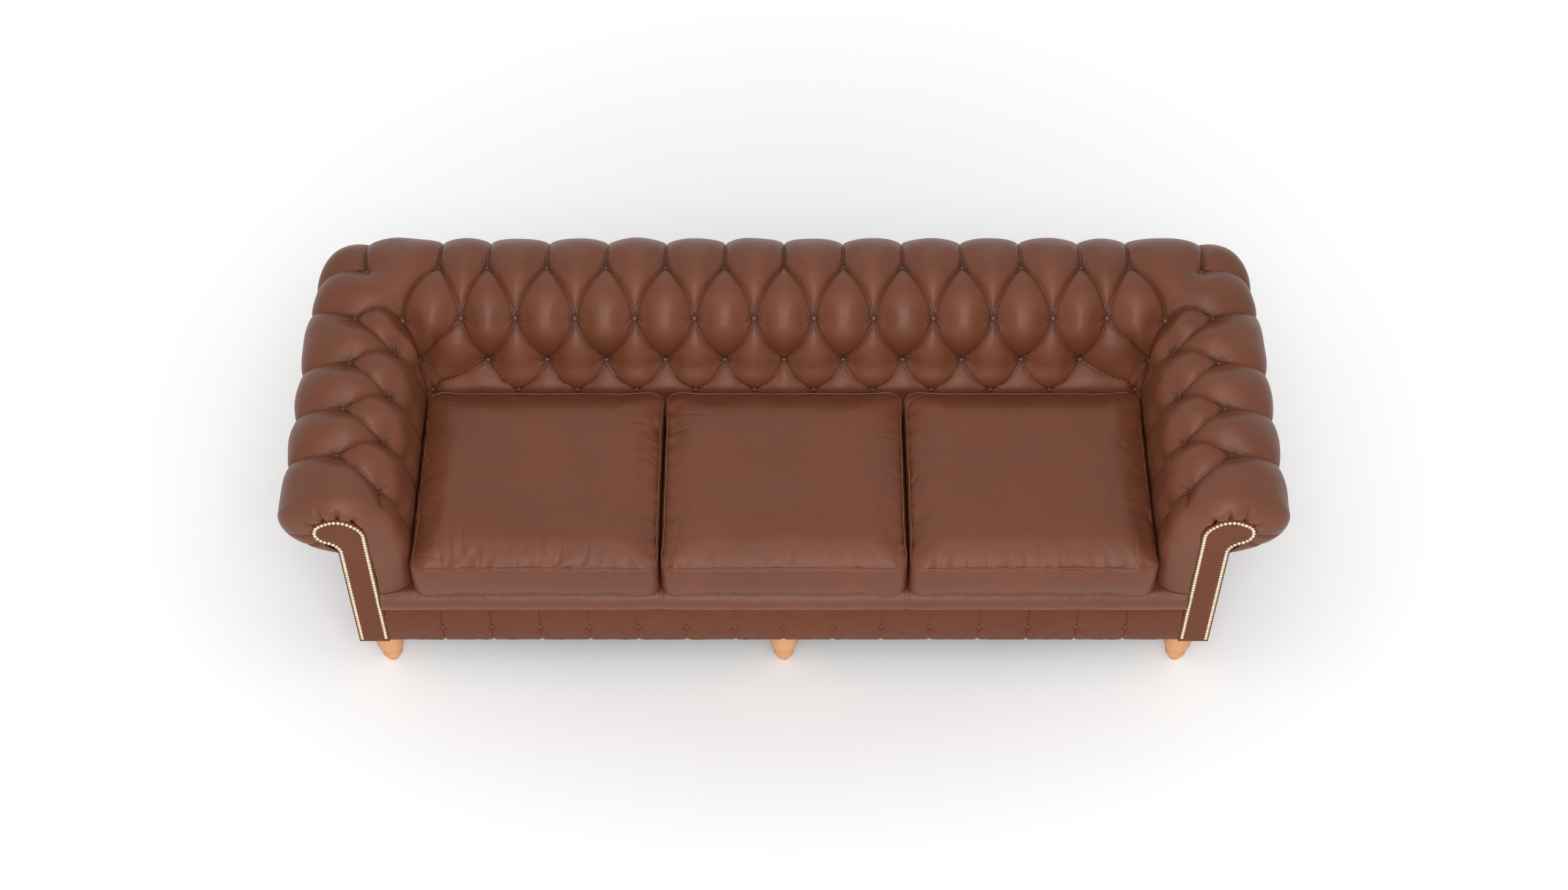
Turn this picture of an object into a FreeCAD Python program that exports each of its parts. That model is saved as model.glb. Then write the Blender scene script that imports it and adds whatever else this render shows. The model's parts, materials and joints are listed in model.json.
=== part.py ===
import FreeCAD, Part
import math
import os

# Chesterfield sofa with three loose seat cushions, in millimetres.
# X runs along the sofa, the front faces -Y and Z points up. The origin is on
# the floor under the middle of the sofa. Left and right are a viewer's who
# stands in front, so left is -X.

os.makedirs("parts", exist_ok=True)
Vec = FreeCAD.Vector
doc = FreeCAD.newDocument("chesterfield_sofa")
sheet = doc.addObject("Spreadsheet::Sheet", "Sizes")

SIZES = {
    # Whole sofa
    "overall_width": 2344, "overall_depth": 907, "overall_height": 680,
    "roll_half_width": 127, "roll_half_height": 97, "lip_projection": 12,
    "foot_height": 130, "soft_gap": 0.3,
    # Timber frame
    "rail_height": 128, "rail_thick": 45, "side_rail_thick": 30, "post_size": 60,
    "top_rail_width": 103, "top_rail_height": 60, "top_rail_drop": 102,
    "top_rail_inset": 69, "tack_rail_thick": 25, "tack_rail_height": 40,
    "tack_rail_lift": 42, "stretcher_thick": 30, "stretcher_height": 70,
    "stretcher_spacing": 320, "upright_width": 50, "upright_thick": 25,
    "upright_spacing": 490, "block_size": 70, "block_height": 60,
    # Arm facings and their nails
    "facing_thick": 18, "facing_leather": 1.5, "facing_width": 74,
    "scroll_top": 634, "scroll_neck": 512, "scroll_reach": 52, "nail_dia": 9.6,
    "nail_height": 3, "nail_pitch": 10.2, "nail_edge": 8,
    # Outer panels and dust cover
    "panel_thick": 4, "panel_inset": 5, "dust_cover_thick": 1,
    "dust_cover_margin": 14,
    # Front border and lip roll
    "border_height": 132, "border_bulge": 7, "border_pitch": 118.6,
    "border_pleats": 7, "border_edge": 1, "border_button_dia": 13,
    "border_button_thick": 4, "border_button_height": 56, "lip_height": 71,
    "lip_depth": 62, "lip_edge": 1,
    # Springs and seat deck
    "wire_dia": 4, "wire_flats": 8, "spring_pitch": 160, "springs_each_side": 5,
    "spring_width": 50, "spring_turn": 24, "clip_width": 26, "clip_depth": 14,
    "clip_wall": 2, "hessian_thick": 2, "deck_leather": 2,
    # Seat cushions
    "cushion_width": 586, "cushion_gap": 2, "cushion_boxing": 120,
    "cushion_crown": 24, "cushion_overhang": 8, "cushion_corner": 32,
    "cushion_draw": 6, "cushion_fillet": 10, "cushion_wall": 2.5,
    "core_clearance": 0.3, "seat_clearance": 0.3, "back_clearance": 16,
    # Tufting along the back and the arms
    "back_pitch": 147, "back_tufts": 5, "arm_tufts": 3, "first_arm_button": 112,
    "corner_arm": 190, "corner_back": 238, "plain_end": 48, "cap_setback": 3,
    "cap_gap": 1, "cap_under": 10, "cap_round": 34, "cap_face": 14,
    # Tufting across the back and the arms: inset from the middle of the roll
    # and drop from its top, for the rows of buttons and for the seat line, and
    # the height of a full tuft at each row
    "button_depth": 35, "row_two_drop": 83, "row_three_drop": 190,
    "row_four_drop": 255, "row_two_arm": 99, "row_two_back": 126,
    "row_three_arm": 131, "row_three_back": 168, "row_four_arm": 148,
    "row_four_back": 214, "seat_arm": 149, "seat_back": 220,
    "under_crest": 6, "notch_depth": 12, "row_two_crest": 33,
    "row_three_crest": 28, "row_four_crest": 9, "seat_crest": 5, "leather_min": 4,
    "button_dia": 15, "button_thick": 6, "button_lift": 0.1,
    "button_step": 0.6,
    # Turned feet and their bolts
    "foot_radius": 34.5, "toe_radius": 11, "foot_inset": 64, "bolt_dia": 8,
    "bolt_length": 70, "insert_dia": 12, "insert_length": 22, "bolt_gap": 0.2,
}
for row, (alias, value) in enumerate(SIZES.items(), start=1):
    sheet.set(f"A{row}", alias)
    sheet.set(f"B{row}", str(value))
    sheet.setAlias(f"B{row}", alias)
doc.recompute()


def size(alias):
    """A driving size, read back from the sheet."""
    return float(sheet.get(alias))


# Planes that several pieces share
front = -size("overall_depth") / 2 + size("lip_projection")
frame_front = front + size("facing_leather") + size("facing_thick")
roll_x = size("overall_width") / 2 - size("roll_half_width")
roll_y = size("overall_depth") / 2 - size("roll_half_width")
roll_top = size("overall_height")
roll_z = roll_top - size("roll_half_height")
panel_x = roll_x - size("panel_inset")
panel_y = roll_y - size("panel_inset")
frame_side = panel_x - size("panel_thick")
frame_back = panel_y - size("panel_thick")
rail_low = size("foot_height")
rail_top = rail_low + size("rail_height")
front_rail_back = frame_front + size("rail_thick")
back_rail_front = frame_back - size("rail_thick")
top_rail_high = roll_top - size("top_rail_drop")
top_rail_low = top_rail_high - size("top_rail_height")
arm_inner = roll_x - size("top_rail_inset")
back_inner = roll_y - size("top_rail_inset")
facing_inner = panel_x - size("facing_width")
wire_z = rail_top + size("clip_wall") + size("wire_dia") / 2
hessian_low = wire_z + size("wire_dia") / 2
deck_low = hessian_low + size("hessian_thick")
border_top = rail_low + size("border_height")
deck_top = border_top + size("lip_height")
soft_gap = size("soft_gap")
corner_x = roll_x - size("corner_arm")
corner_y = roll_y - size("corner_back")
clip_set = size("clip_depth") / 2 + size("wire_dia")

SIDES = (("left", -1), ("right", 1))
nodes = []


def keep(piece, label):
    """Names a finished sub-part and lists it for export."""
    piece.Label = label
    nodes.append(piece)
    return piece


def bind(piece, **cells):
    """Ties properties of a piece to cells of the sheet."""
    for name, cell in cells.items():
        piece.setExpression(name, "Sizes." + cell)


def box(name, low, high, **cells):
    """A board between two corners, with the sizes that the sheet drives."""
    piece = doc.addObject("Part::Box", name)
    piece.Length = high[0] - low[0]
    piece.Width = high[1] - low[1]
    piece.Height = high[2] - low[2]
    piece.Placement = FreeCAD.Placement(Vec(*low), FreeCAD.Rotation())
    bind(piece, **cells)
    return piece


def side_box(name, side, low, high, **cells):
    """A board given for the right half, mirrored for the left one."""
    if side < 0:
        low, high = (-high[0], low[1], low[2]), (-low[0], high[1], high[2])
    return box(name, low, high, **cells)


def cylinder(name, centre, radius, height):
    piece = doc.addObject("Part::Cylinder", name)
    piece.Radius = radius
    piece.Height = height
    piece.Placement = FreeCAD.Placement(Vec(*centre), FreeCAD.Rotation())
    return piece


def fuse(name, pieces):
    piece = doc.addObject("Part::MultiFuse", name)
    piece.Shapes = pieces
    return piece


def cut(name, base, tool):
    piece = doc.addObject("Part::Cut", name)
    piece.Base = base
    piece.Tool = tool
    return piece


def solid(label, shape):
    """Holds a shape that neither a body nor a primitive fits."""
    piece = doc.addObject("Part::Feature", label)
    piece.Shape = shape
    return keep(piece, label)


def arc(start, middle, end):
    return Part.Arc(start, middle, end).toShape()


def line(start, end):
    return Part.LineSegment(start, end).toShape()


def closed(points):
    """A closed wire of straight runs."""
    return Part.makePolygon(list(points) + [points[0]])


def loft(wires):
    """A solid of ruled faces through closed wires."""
    shape = Part.makeLoft(wires, True, True)
    if shape.Volume < 0:
        shape.reverse()
    return shape


def origin_plane(body, role):
    return next(o for o in body.Origin.OriginFeatures if o.Role == role)


def sketch_on(body, role, offset, edges):
    """A sketch of a body on one of its origin planes, moved along its normal."""
    sketch = body.newObject("Sketcher::SketchObject", body.Name + "_outline")
    sketch.AttachmentSupport = [(origin_plane(body, role), "")]
    sketch.MapMode = "FlatFace"
    sketch.AttachmentOffset = FreeCAD.Placement(Vec(0, 0, offset), FreeCAD.Rotation())
    sketch.addGeometry(edges, False)
    return sketch


# Feet, where they stand
foot_x = (-(panel_x - size("foot_inset")), 0, panel_x - size("foot_inset"))
foot_front = frame_front + size("rail_thick") / 2
foot_rear = frame_back - size("rail_thick") / 2
FEET = [(f"foot_{end}_{place}", x, y)
        for end, y in (("front", foot_front), ("rear", foot_rear))
        for place, x in zip(("left", "middle", "right"), foot_x)]


def foot_holes(y):
    """The holes for the inserts and bolts of the three feet under one rail."""
    holes = []
    for index, x in enumerate(foot_x):
        name = f"hole_{index}_{'front' if y < 0 else 'rear'}"
        wide = cylinder(name, (x, y, rail_low), 1, 1)
        bind(wide, Radius="insert_dia / 2", Height="insert_length")
        deep = cylinder(name + "_deep", (x, y, rail_low), 1, 1)
        bind(deep, Radius="bolt_dia / 2 + Sizes.bolt_gap / 2",
             Height="bolt_length / 2 + Sizes.bolt_gap")
        holes += [wide, deep]
    return fuse(f"holes_{'front' if y < 0 else 'rear'}", holes)


# Seat frame
front_board = box("front_rail_board", (-frame_side, frame_front, rail_low),
                  (frame_side, front_rail_back, rail_top),
                  Width="rail_thick", Height="rail_height")
keep(cut("front_rail", front_board, foot_holes(foot_front)), "front_seat_rail")
back_board = box("back_rail_board", (-frame_side, back_rail_front, rail_low),
                 (frame_side, frame_back, rail_top),
                 Width="rail_thick", Height="rail_height")
keep(cut("back_rail", back_board, foot_holes(foot_rear)), "back_seat_rail")

post_back = frame_front + size("post_size")
rear_post_front = frame_back - size("post_size")
post_inner = frame_side - size("post_size")
tack_low = rail_top + size("tack_rail_lift")
tack_high = tack_low + size("tack_rail_height")
stretcher_x = size("stretcher_spacing")
for name, side in SIDES:
    keep(side_box(f"side_rail_{name}", side,
                  (frame_side - size("side_rail_thick"), front_rail_back, rail_low),
                  (frame_side, back_rail_front, rail_top),
                  Length="side_rail_thick", Height="rail_height"),
         f"side_seat_rail_{name}")
    keep(side_box(f"post_{name}", side, (post_inner, frame_front, rail_top),
                  (frame_side, post_back, top_rail_low),
                  Length="post_size", Width="post_size"), f"arm_post_{name}")
    keep(side_box(f"rear_post_board_{name}", side,
                  (post_inner, rear_post_front, rail_top),
                  (frame_side, frame_back, top_rail_high),
                  Length="post_size", Width="post_size"), f"rear_post_{name}")
    keep(side_box(f"arm_rail_{name}", side, (arm_inner, frame_front, top_rail_low),
                  (arm_inner + size("top_rail_width"), rear_post_front, top_rail_high),
                  Length="top_rail_width", Height="top_rail_height"),
         f"arm_top_rail_{name}")
    keep(side_box(f"tack_rail_{name}", side, (post_inner, post_back, tack_low),
                  (post_inner + size("tack_rail_thick"), rear_post_front, tack_high),
                  Length="tack_rail_thick", Height="tack_rail_height"),
         f"arm_tack_rail_{name}")
    keep(side_box(f"stretcher_{name}", side,
                  (stretcher_x - size("stretcher_thick") / 2, front_rail_back, rail_low),
                  (stretcher_x + size("stretcher_thick") / 2, back_rail_front,
                   rail_low + size("stretcher_height")),
                  Length="stretcher_thick", Height="stretcher_height"),
         f"seat_stretcher_{name}")

keep(box("back_rail_top", (-post_inner, back_inner, top_rail_low),
         (post_inner, back_inner + size("top_rail_width"), top_rail_high),
         Width="top_rail_width", Height="top_rail_height"), "back_top_rail")
keep(box("back_tack", (-post_inner, rear_post_front, tack_low),
         (post_inner, rear_post_front + size("tack_rail_thick"), tack_high),
         Width="tack_rail_thick", Height="tack_rail_height"), "back_tack_rail")
uprights = []
half = size("upright_width") / 2
for index in (-1, 0, 1):
    upright_x = index * size("upright_spacing")
    uprights.append(box(f"upright_{index + 1}",
                        (upright_x - half, frame_back - size("upright_thick"), rail_top),
                        (upright_x + half, frame_back, top_rail_low),
                        Length="upright_width", Width="upright_thick"))
keep(fuse("uprights", uprights), "back_uprights")


def corner_block(side, y, direction):
    """A three-sided glue block in a corner of the seat frame."""
    reach = size("block_size")
    x = frame_side - size("side_rail_thick")
    corners = [Vec(side * x, y, rail_low), Vec(side * (x - reach), y, rail_low),
               Vec(side * x, y + direction * reach, rail_low)]
    return Part.Face(closed(corners)).extrude(Vec(0, 0, size("block_height")))


solid("corner_blocks", Part.makeCompound(
    [corner_block(side, y, direction) for name, side in SIDES
     for y, direction in ((front_rail_back, 1), (back_rail_front, -1))]))


# Feet
def foot_profile(height, radius, toe):
    """Half of the turned outline: a toe, a lip, a bowl and two rings."""
    def at(share, level):
        return Vec(radius * share, height * level, 0)
    toe_edge = Vec(toe, 0, 0)
    arcs = [
        (toe_edge, at(0.47, 0.05), at(0.49, 0.125)),
        (at(0.49, 0.125), at(0.68, 0.19), at(0.725, 0.28)),
        (at(0.725, 0.28), at(0.94, 0.46), at(1.0, 0.68)),
        (at(1.0, 0.68), at(0.955, 0.695), at(0.985, 0.71)),
        (at(0.985, 0.71), at(1.0, 0.76), at(0.985, 0.81)),
        (at(0.985, 0.81), at(0.95, 0.825), at(0.975, 0.84)),
        (at(0.975, 0.84), at(0.995, 0.92), at(0.97, 1.0)),
    ]
    edges = [Part.LineSegment(Vec(0, 0, 0), toe_edge)]
    edges += [Part.Arc(*points) for points in arcs]
    edges.append(Part.LineSegment(at(0.97, 1.0), at(0, 1.0)))
    edges.append(Part.LineSegment(at(0, 1.0), Vec(0, 0, 0)))
    return edges


for name, x, y in FEET:
    body = doc.addObject("PartDesign::Body", name + "_body")
    sketch = sketch_on(body, "XZ_Plane", 0, foot_profile(
        size("foot_height"), size("foot_radius"), size("toe_radius")))
    turned = body.newObject("PartDesign::Revolution", name + "_turned")
    turned.Profile = sketch
    turned.ReferenceAxis = (sketch, ["V_Axis"])
    turned.Angle = 360
    doc.recompute()
    full = turned.Shape.Volume
    top = sketch_on(body, "XY_Plane", 0, [Part.Circle(
        Vec(0, 0, 0), Vec(0, 0, 1), size("bolt_dia") / 2 + size("bolt_gap") / 2)])
    top.AttachmentOffset = FreeCAD.Placement(Vec(0, 0, size("foot_height")),
                                             FreeCAD.Rotation())
    hole = body.newObject("PartDesign::Pocket", name + "_hole")
    hole.Profile = top
    hole.setExpression("Length", "Sizes.bolt_length / 2 + Sizes.bolt_gap")
    doc.recompute()
    assert hole.Shape.Volume < full, name
    body.Placement = FreeCAD.Placement(Vec(x, y, 0), FreeCAD.Rotation())
    keep(body, name)

bolts = []
inserts = []
for name, x, y in FEET:
    bolt = cylinder(name + "_bolt", (x, y, rail_low - size("bolt_length") / 2), 1, 1)
    bind(bolt, Radius="bolt_dia / 2", Height="bolt_length")
    bolts.append(bolt)
    outer = cylinder(name + "_insert_outer", (x, y, rail_low), 1, 1)
    bind(outer, Radius="insert_dia / 2", Height="insert_length")
    inner = cylinder(name + "_insert_inner", (x, y, rail_low), 1, 1)
    bind(inner, Radius="bolt_dia / 2 + Sizes.bolt_gap / 2", Height="insert_length")
    inserts.append(cut(name + "_insert", outer, inner))
keep(fuse("bolts", bolts), "foot_bolts")
keep(fuse("inserts", inserts), "foot_inserts")


# Springs, clips and seat deck
front_clip = front_rail_back - clip_set
back_clip = back_rail_front + clip_set


def spring_path(x):
    """A zigzag wire from clip to clip: cross bars joined by half turns."""
    turns = max(2, round((back_clip - front_clip) / size("spring_turn")))
    step = (back_clip - front_clip) / turns
    bar = size("spring_width") / 2 - step / 2
    edges = []
    side = 1
    for index in range(turns + 1):
        y = front_clip + index * step
        edges.append(line(Vec(x - side * bar, y, wire_z), Vec(x + side * bar, y, wire_z)))
        if index < turns:
            edges.append(arc(Vec(x + side * bar, y, wire_z),
                             Vec(x + side * (bar + step / 2), y + step / 2, wire_z),
                             Vec(x + side * bar, y + step, wire_z)))
        side = -side
    return Part.Wire(edges)


first_path = spring_path(0)
start = first_path.Edges[0].firstVertex().Point
wire_flats = int(size("wire_flats"))
turns = [2 * math.pi * (index + 0.5) / wire_flats for index in range(wire_flats)]
around = size("wire_dia") / 2 / math.cos(math.pi / wire_flats)
section = closed([start + Vec(0, around * math.cos(turn), around * math.sin(turn))
                  for turn in turns])
one_spring = first_path.makePipeShell([section], True, False)
spring_x = [index * size("spring_pitch")
            for index in range(-int(size("springs_each_side")),
                               int(size("springs_each_side")) + 1)]


def copies(shape, places):
    """The same shape moved to each place, as separate solids."""
    made = []
    for place in places:
        moved = shape.copy()
        moved.translate(place)
        made.append(moved)
    return Part.makeCompound(made)


solid("seat_springs", copies(one_spring, [Vec(x, 0, 0) for x in spring_x]))

clip_high = wire_z + size("wire_dia") / 2 + size("clip_wall")
clip = Part.makeBox(size("clip_width"), size("clip_depth"), clip_high - rail_top,
                    Vec(-size("clip_width") / 2, -size("clip_depth") / 2, rail_top))
slot = Part.makeBox(size("clip_width"), size("clip_depth"), size("wire_dia"),
                    Vec(-size("clip_width") / 2,
                        -size("wire_dia") / 2, wire_z - size("wire_dia") / 2))
front_folded = clip.cut(slot)
back_folded = front_folded.mirror(Vec(0, 0, 0), Vec(0, 1, 0))
solid("spring_clips", Part.makeCompound(
    [copies(front_folded, [Vec(x, front_clip, 0) for x in spring_x]),
     copies(back_folded, [Vec(x, back_clip, 0) for x in spring_x])]))

keep(box("hessian", (-facing_inner, front_rail_back, hessian_low),
         (facing_inner, back_rail_front, deck_low), Height="hessian_thick"),
     "spring_hessian")
lip_back = frame_front + size("lip_depth")
keep(box("deck_pad", (-facing_inner, lip_back, deck_low),
         (facing_inner, rear_post_front, deck_top - size("deck_leather"))),
     "deck_padding")
keep(box("deck_skin", (-facing_inner, lip_back, deck_top - size("deck_leather")),
         (facing_inner, rear_post_front, deck_top), Height="deck_leather"),
     "deck_cover")


# Lip roll along the front of the deck
def lip_profile(x):
    lip_front = -size("overall_depth") / 2
    step_back = front_clip - size("clip_depth") / 2 - soft_gap
    points = [(frame_front, deck_top), (lip_back - soft_gap, deck_top),
              (lip_back - soft_gap, deck_low), (step_back, deck_low),
              (step_back, rail_top), (frame_front, rail_top),
              (frame_front, border_top), (front + size("lip_edge"), border_top)]
    points = [Vec(x, y, z) for y, z in points]
    edges = [line(a, b) for a, b in zip(points, points[1:])]
    height = size("lip_height")
    belly = Vec(x, lip_front, border_top + height * 0.4)
    shoulder = Vec(x, lip_front + size("lip_edge"), border_top + height * 0.62)
    brow = Vec(x, lip_front + height * 0.13, deck_top - height * 0.13)
    edges.append(arc(points[-1], belly, shoulder))
    edges.append(arc(shoulder, brow, points[0]))
    return Part.Wire(edges)


solid("lip_roll", Part.Face(lip_profile(-facing_inner)).extrude(
    Vec(2 * facing_inner, 0, 0)))


# Front border with its pleats and buttons
pleat_x = [index * size("border_pitch")
           for index in range(-int(size("border_pleats")), int(size("border_pleats")) + 1)]
body = doc.addObject("PartDesign::Body", "border_body")
valley = front + size("border_bulge")
border_edge = front + size("border_edge")
stops = [-facing_inner] + pleat_x + [facing_inner]
edges = []
for index in range(len(stops) - 1):
    start_x, end_x = stops[index], stops[index + 1]
    start_y = border_edge if index == 0 else valley
    end_y = border_edge if index == len(stops) - 2 else valley
    edges.append(Part.Arc(Vec(start_x, start_y, 0), Vec((start_x + end_x) / 2, front, 0),
                          Vec(end_x, end_y, 0)))
corners = [Vec(facing_inner, border_edge, 0), Vec(facing_inner, frame_front, 0),
           Vec(-facing_inner, frame_front, 0), Vec(-facing_inner, border_edge, 0)]
edges += [Part.LineSegment(a, b) for a, b in zip(corners, corners[1:])]
sketch = sketch_on(body, "XY_Plane", rail_low, edges)
pad = body.newObject("PartDesign::Pad", "border_pad")
pad.Profile = sketch
pad.setExpression("Length", "Sizes.border_height")
doc.recompute()
keep(body, "front_border")


def button_shape(diameter, thick):
    """A covered button: a low dome on a short rim, facing +Z."""
    rim = thick * 0.3
    edge = diameter / 2
    dome = (edge ** 2 + (thick - rim) ** 2) / (2 * (thick - rim))
    half_turn = math.asin(edge / dome) / 2
    middle = Vec(dome * math.sin(half_turn), 0, thick - dome * (1 - math.cos(half_turn)))
    outline = [line(Vec(0, 0, 0), Vec(edge, 0, 0)), line(Vec(edge, 0, 0), Vec(edge, 0, rim)),
               arc(Vec(edge, 0, rim), middle, Vec(0, 0, thick)),
               line(Vec(0, 0, thick), Vec(0, 0, 0))]
    return Part.Face(Part.Wire(outline)).revolve(Vec(0, 0, 0), Vec(0, 0, 1), 360)


def facing(shape, place, normal):
    """A copy of a shape at a place, turned from +Z to a normal."""
    made = shape.copy()
    made.Placement = FreeCAD.Placement(place, FreeCAD.Rotation(Vec(0, 0, 1), normal))
    return made


def seated(shape, place, normal, grounds, lift):
    """A button lifted along its normal until it clears the leather under it."""
    reach = shape.BoundBox.DiagonalLength
    zone = FreeCAD.BoundBox(place.x - reach, place.y - reach, place.z - reach,
                            place.x + reach, place.y + reach, place.z + reach)
    under = Part.makeCompound([face for ground in grounds for face in ground.Faces
                               if zone.intersect(face.BoundBox)])
    while True:
        made = facing(shape, place + normal * lift, normal)
        if made.distToShape(under)[0] > 0.9 * soft_gap:
            return made
        lift += size("button_step")


border_button = button_shape(size("border_button_dia"), size("border_button_thick"))
button_z = rail_low + size("border_button_height")
solid("border_buttons", Part.makeCompound(
    [seated(border_button, Vec(x, valley, button_z), Vec(0, -1, 0), [pad.Shape], soft_gap)
     for x in pleat_x]))


# Arm facings, their leather and their nails
EDGES = {"inner": (facing_inner, size("facing_width")),
         "outer": (panel_x, size("scroll_reach"))}


def scroll_point(side, y, edge, share, rise):
    """A point by the head of a facing: out from its inner edge by a share of its
    width, or from its outer edge by a share of the scroll's reach, and up from
    the neck by a share of the head."""
    start, span = EDGES[edge]
    neck = size("scroll_neck")
    head = size("scroll_top") - neck
    return Vec(side * (start + share * span), y, neck + rise * head)


def facing_outline(side, y, inset=0):
    """A slim board whose head is a scroll, as a closed wire at one depth."""
    middle = (1 + size("scroll_reach") / size("facing_width")) / 2
    ends = [("outer", 0, 0), ("outer", 0.52, 0.24), ("outer", 0.42, 0.92),
            ("inner", 0.3, 0.85), ("inner", 0, 0.4)]
    middles = [("outer", 0.17, 0.15), ("outer", 1, 0.62), ("inner", middle, 1),
               ("inner", 0.05, 0.64)]
    points = [scroll_point(side, y, *mark) for mark in ends]
    edges = [arc(start, scroll_point(side, y, *mark), end)
             for start, mark, end in zip(points, middles, points[1:])]
    foot = [points[-1], Vec(side * facing_inner, y, rail_low),
            Vec(side * panel_x, y, rail_low), points[0]]
    edges += [line(a, b) for a, b in zip(foot, foot[1:])]
    wire = Part.Wire(edges)
    return wire.makeOffset2D(-inset) if inset else wire


nail_radius = ((size("nail_dia") / 2) ** 2 + size("nail_height") ** 2) / (
    2 * size("nail_height"))
nail_depth = nail_radius - size("nail_height")
nail_box = 4 * nail_radius
nail = Part.makeSphere(nail_radius, Vec(0, 0, -nail_depth)).common(
    Part.makeBox(nail_box, nail_box, nail_box, Vec(-nail_box / 2, -nail_box / 2, 0)))


def nail_places(side):
    """Even steps along the nail line, round the head and down both edges."""
    loop = facing_outline(side, front, size("nail_edge"))
    count = int(loop.Length / size("nail_pitch"))
    lowest = rail_low + size("nail_edge") + size("nail_dia") / 10
    return [p for p in loop.discretize(Number=count + 1)[:-1] if p.z > lowest]


for name, side in SIDES:
    face = Part.Face(facing_outline(side, front))
    skin = face.extrude(Vec(0, size("facing_leather"), 0))
    board = face.copy()
    board.translate(Vec(0, size("facing_leather"), 0))
    solid(f"facing_board_{name}", board.extrude(Vec(0, size("facing_thick"), 0)))
    solid(f"facing_leather_{name}", skin)
    solid(f"facing_nails_{name}", Part.makeCompound(
        [facing(nail, place, Vec(0, -1, 0)) for place in nail_places(side)]))


# Outer panels and dust cover
for name, side in SIDES:
    keep(side_box(f"panel_{name}", side, (frame_side, frame_front, rail_low),
                  (panel_x, panel_y, top_rail_low), Length="panel_thick"),
         f"outer_arm_panel_{name}")
keep(box("back_panel", (-frame_side, frame_back, rail_low),
         (frame_side, panel_y, top_rail_low), Width="panel_thick"), "outer_back_panel")
margin = size("dust_cover_margin")
cover = box("dust_sheet", (margin - frame_side, frame_front + margin,
                           rail_low - size("dust_cover_thick")),
            (frame_side - margin, frame_back - margin, rail_low),
            Height="dust_cover_thick")
foot_clear = [cylinder(name + "_clearance", (x, y, 0), 1, 1) for name, x, y in FEET]
for piece in foot_clear:
    bind(piece, Radius="foot_radius + Sizes.bolt_gap", Height="foot_height")
keep(cut("dust", cover, fuse("foot_clearances", foot_clear)), "dust_cover")


# Cross-section of the tufted arms and back, from the underside of the roll
# (row -1) over its side (row 0) and the four rows of buttons to the seat
# (row 5). Each row has its distance out along the arm's and the back's own
# axis, its height, the way its surface faces, the height of a full tuft above
# a button and how square it turns the rear corners.
under_crest = size("under_crest")
underside = roll_top - 2 * size("roll_half_height") + under_crest
SQUARE = 3000
ROWS = {
    -1: (panel_x + soft_gap, panel_y + soft_gap, underside, 0, -1, under_crest, SQUARE),
    0: (roll_x + size("roll_half_width") - size("notch_depth"),
        roll_y + size("roll_half_width") - size("notch_depth"), roll_z,
        1, 0, size("notch_depth"), 4.2),
    1: (roll_x, roll_y, roll_top - size("button_depth"),
        0, 1, size("button_depth"), 9),
    2: (roll_x - size("row_two_arm"), roll_y - size("row_two_back"),
        roll_top - size("row_two_drop"), -0.707, 0.707, size("row_two_crest"), 7),
    3: (roll_x - size("row_three_arm"), roll_y - size("row_three_back"),
        roll_top - size("row_three_drop"), -0.95, 0.31, size("row_three_crest"), 6),
    4: (roll_x - size("row_four_arm"), roll_y - size("row_four_back"),
        roll_top - size("row_four_drop"), -1, 0, size("row_four_crest"), 6),
    5: (roll_x - size("seat_arm"), roll_y - size("seat_back"), deck_top + soft_gap,
        -1, 0, size("seat_crest"), 6),
}


def profile(row, rise):
    """A point of the cross-section at any row, raised by a share of a tuft.

    A negative rise is a depth in millimetres below the buttons. The result is
    the way out on an arm and on the back, the height and the corner's turn."""
    low = min(int(math.floor(row)), 4)
    share = row - low
    start, end = ROWS[low], ROWS[low + 1]
    at_start = 2 * share ** 3 - 3 * share ** 2 + 1
    leave_start = share ** 3 - 2 * share ** 2 + share
    at_end = 1 - at_start
    leave_end = share ** 3 - share ** 2

    def blend(column):
        return start[column] + (end[column] - start[column]) * share

    def smooth(column, slope, sign, chord):
        return (at_start * start[column] + at_end * end[column]
                + sign * chord * (leave_start * start[slope] + leave_end * end[slope]))
    chords = [math.hypot(end[column] - start[column], end[2] - start[2])
              for column in (0, 1)]
    lift = blend(5) * rise if rise >= 0 else rise
    lift /= math.hypot(blend(3), blend(4))
    turn = 1 / (1 / start[6] + (1 / end[6] - 1 / start[6]) * share)
    return (smooth(0, 4, -1, chords[0]) + lift * blend(3),
            smooth(1, 4, -1, chords[1]) + lift * blend(3),
            smooth(2, 3, 1, chords[1]) + lift * blend(4), turn)


mitre = math.degrees(math.atan2(panel_y - corner_y, panel_x - corner_x))


def place_point(station, point):
    """Sets a point of the cross-section at a station on an arm, on the back or
    in the turn between them, where the angle is 0 at the arm."""
    where, position, side = station
    arm_out, back_out, z, turn = point
    if where == "arm":
        return Vec(side * arm_out, position, z)
    if where == "back":
        return Vec(position, back_out, z)
    angle = math.radians(position)
    a = math.cos(angle) / (arm_out - corner_x)
    b = math.sin(angle) / (back_out - corner_y)
    least, most = sorted((a, b))
    reach = (1 + (least / most) ** turn) ** (-1 / turn) / most
    return Vec(side * (corner_x + reach * math.cos(angle)),
               corner_y + reach * math.sin(angle), z)


def place_normal(station, row):
    where, position, side = station
    out, up = ROWS[row][3], ROWS[row][4]
    if where == "arm":
        return Vec(side * out, 0, up)
    if where == "back":
        return Vec(0, out, up)
    angle = math.radians(position)
    return Vec(side * out * math.cos(angle), out * math.sin(angle), up)


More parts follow.
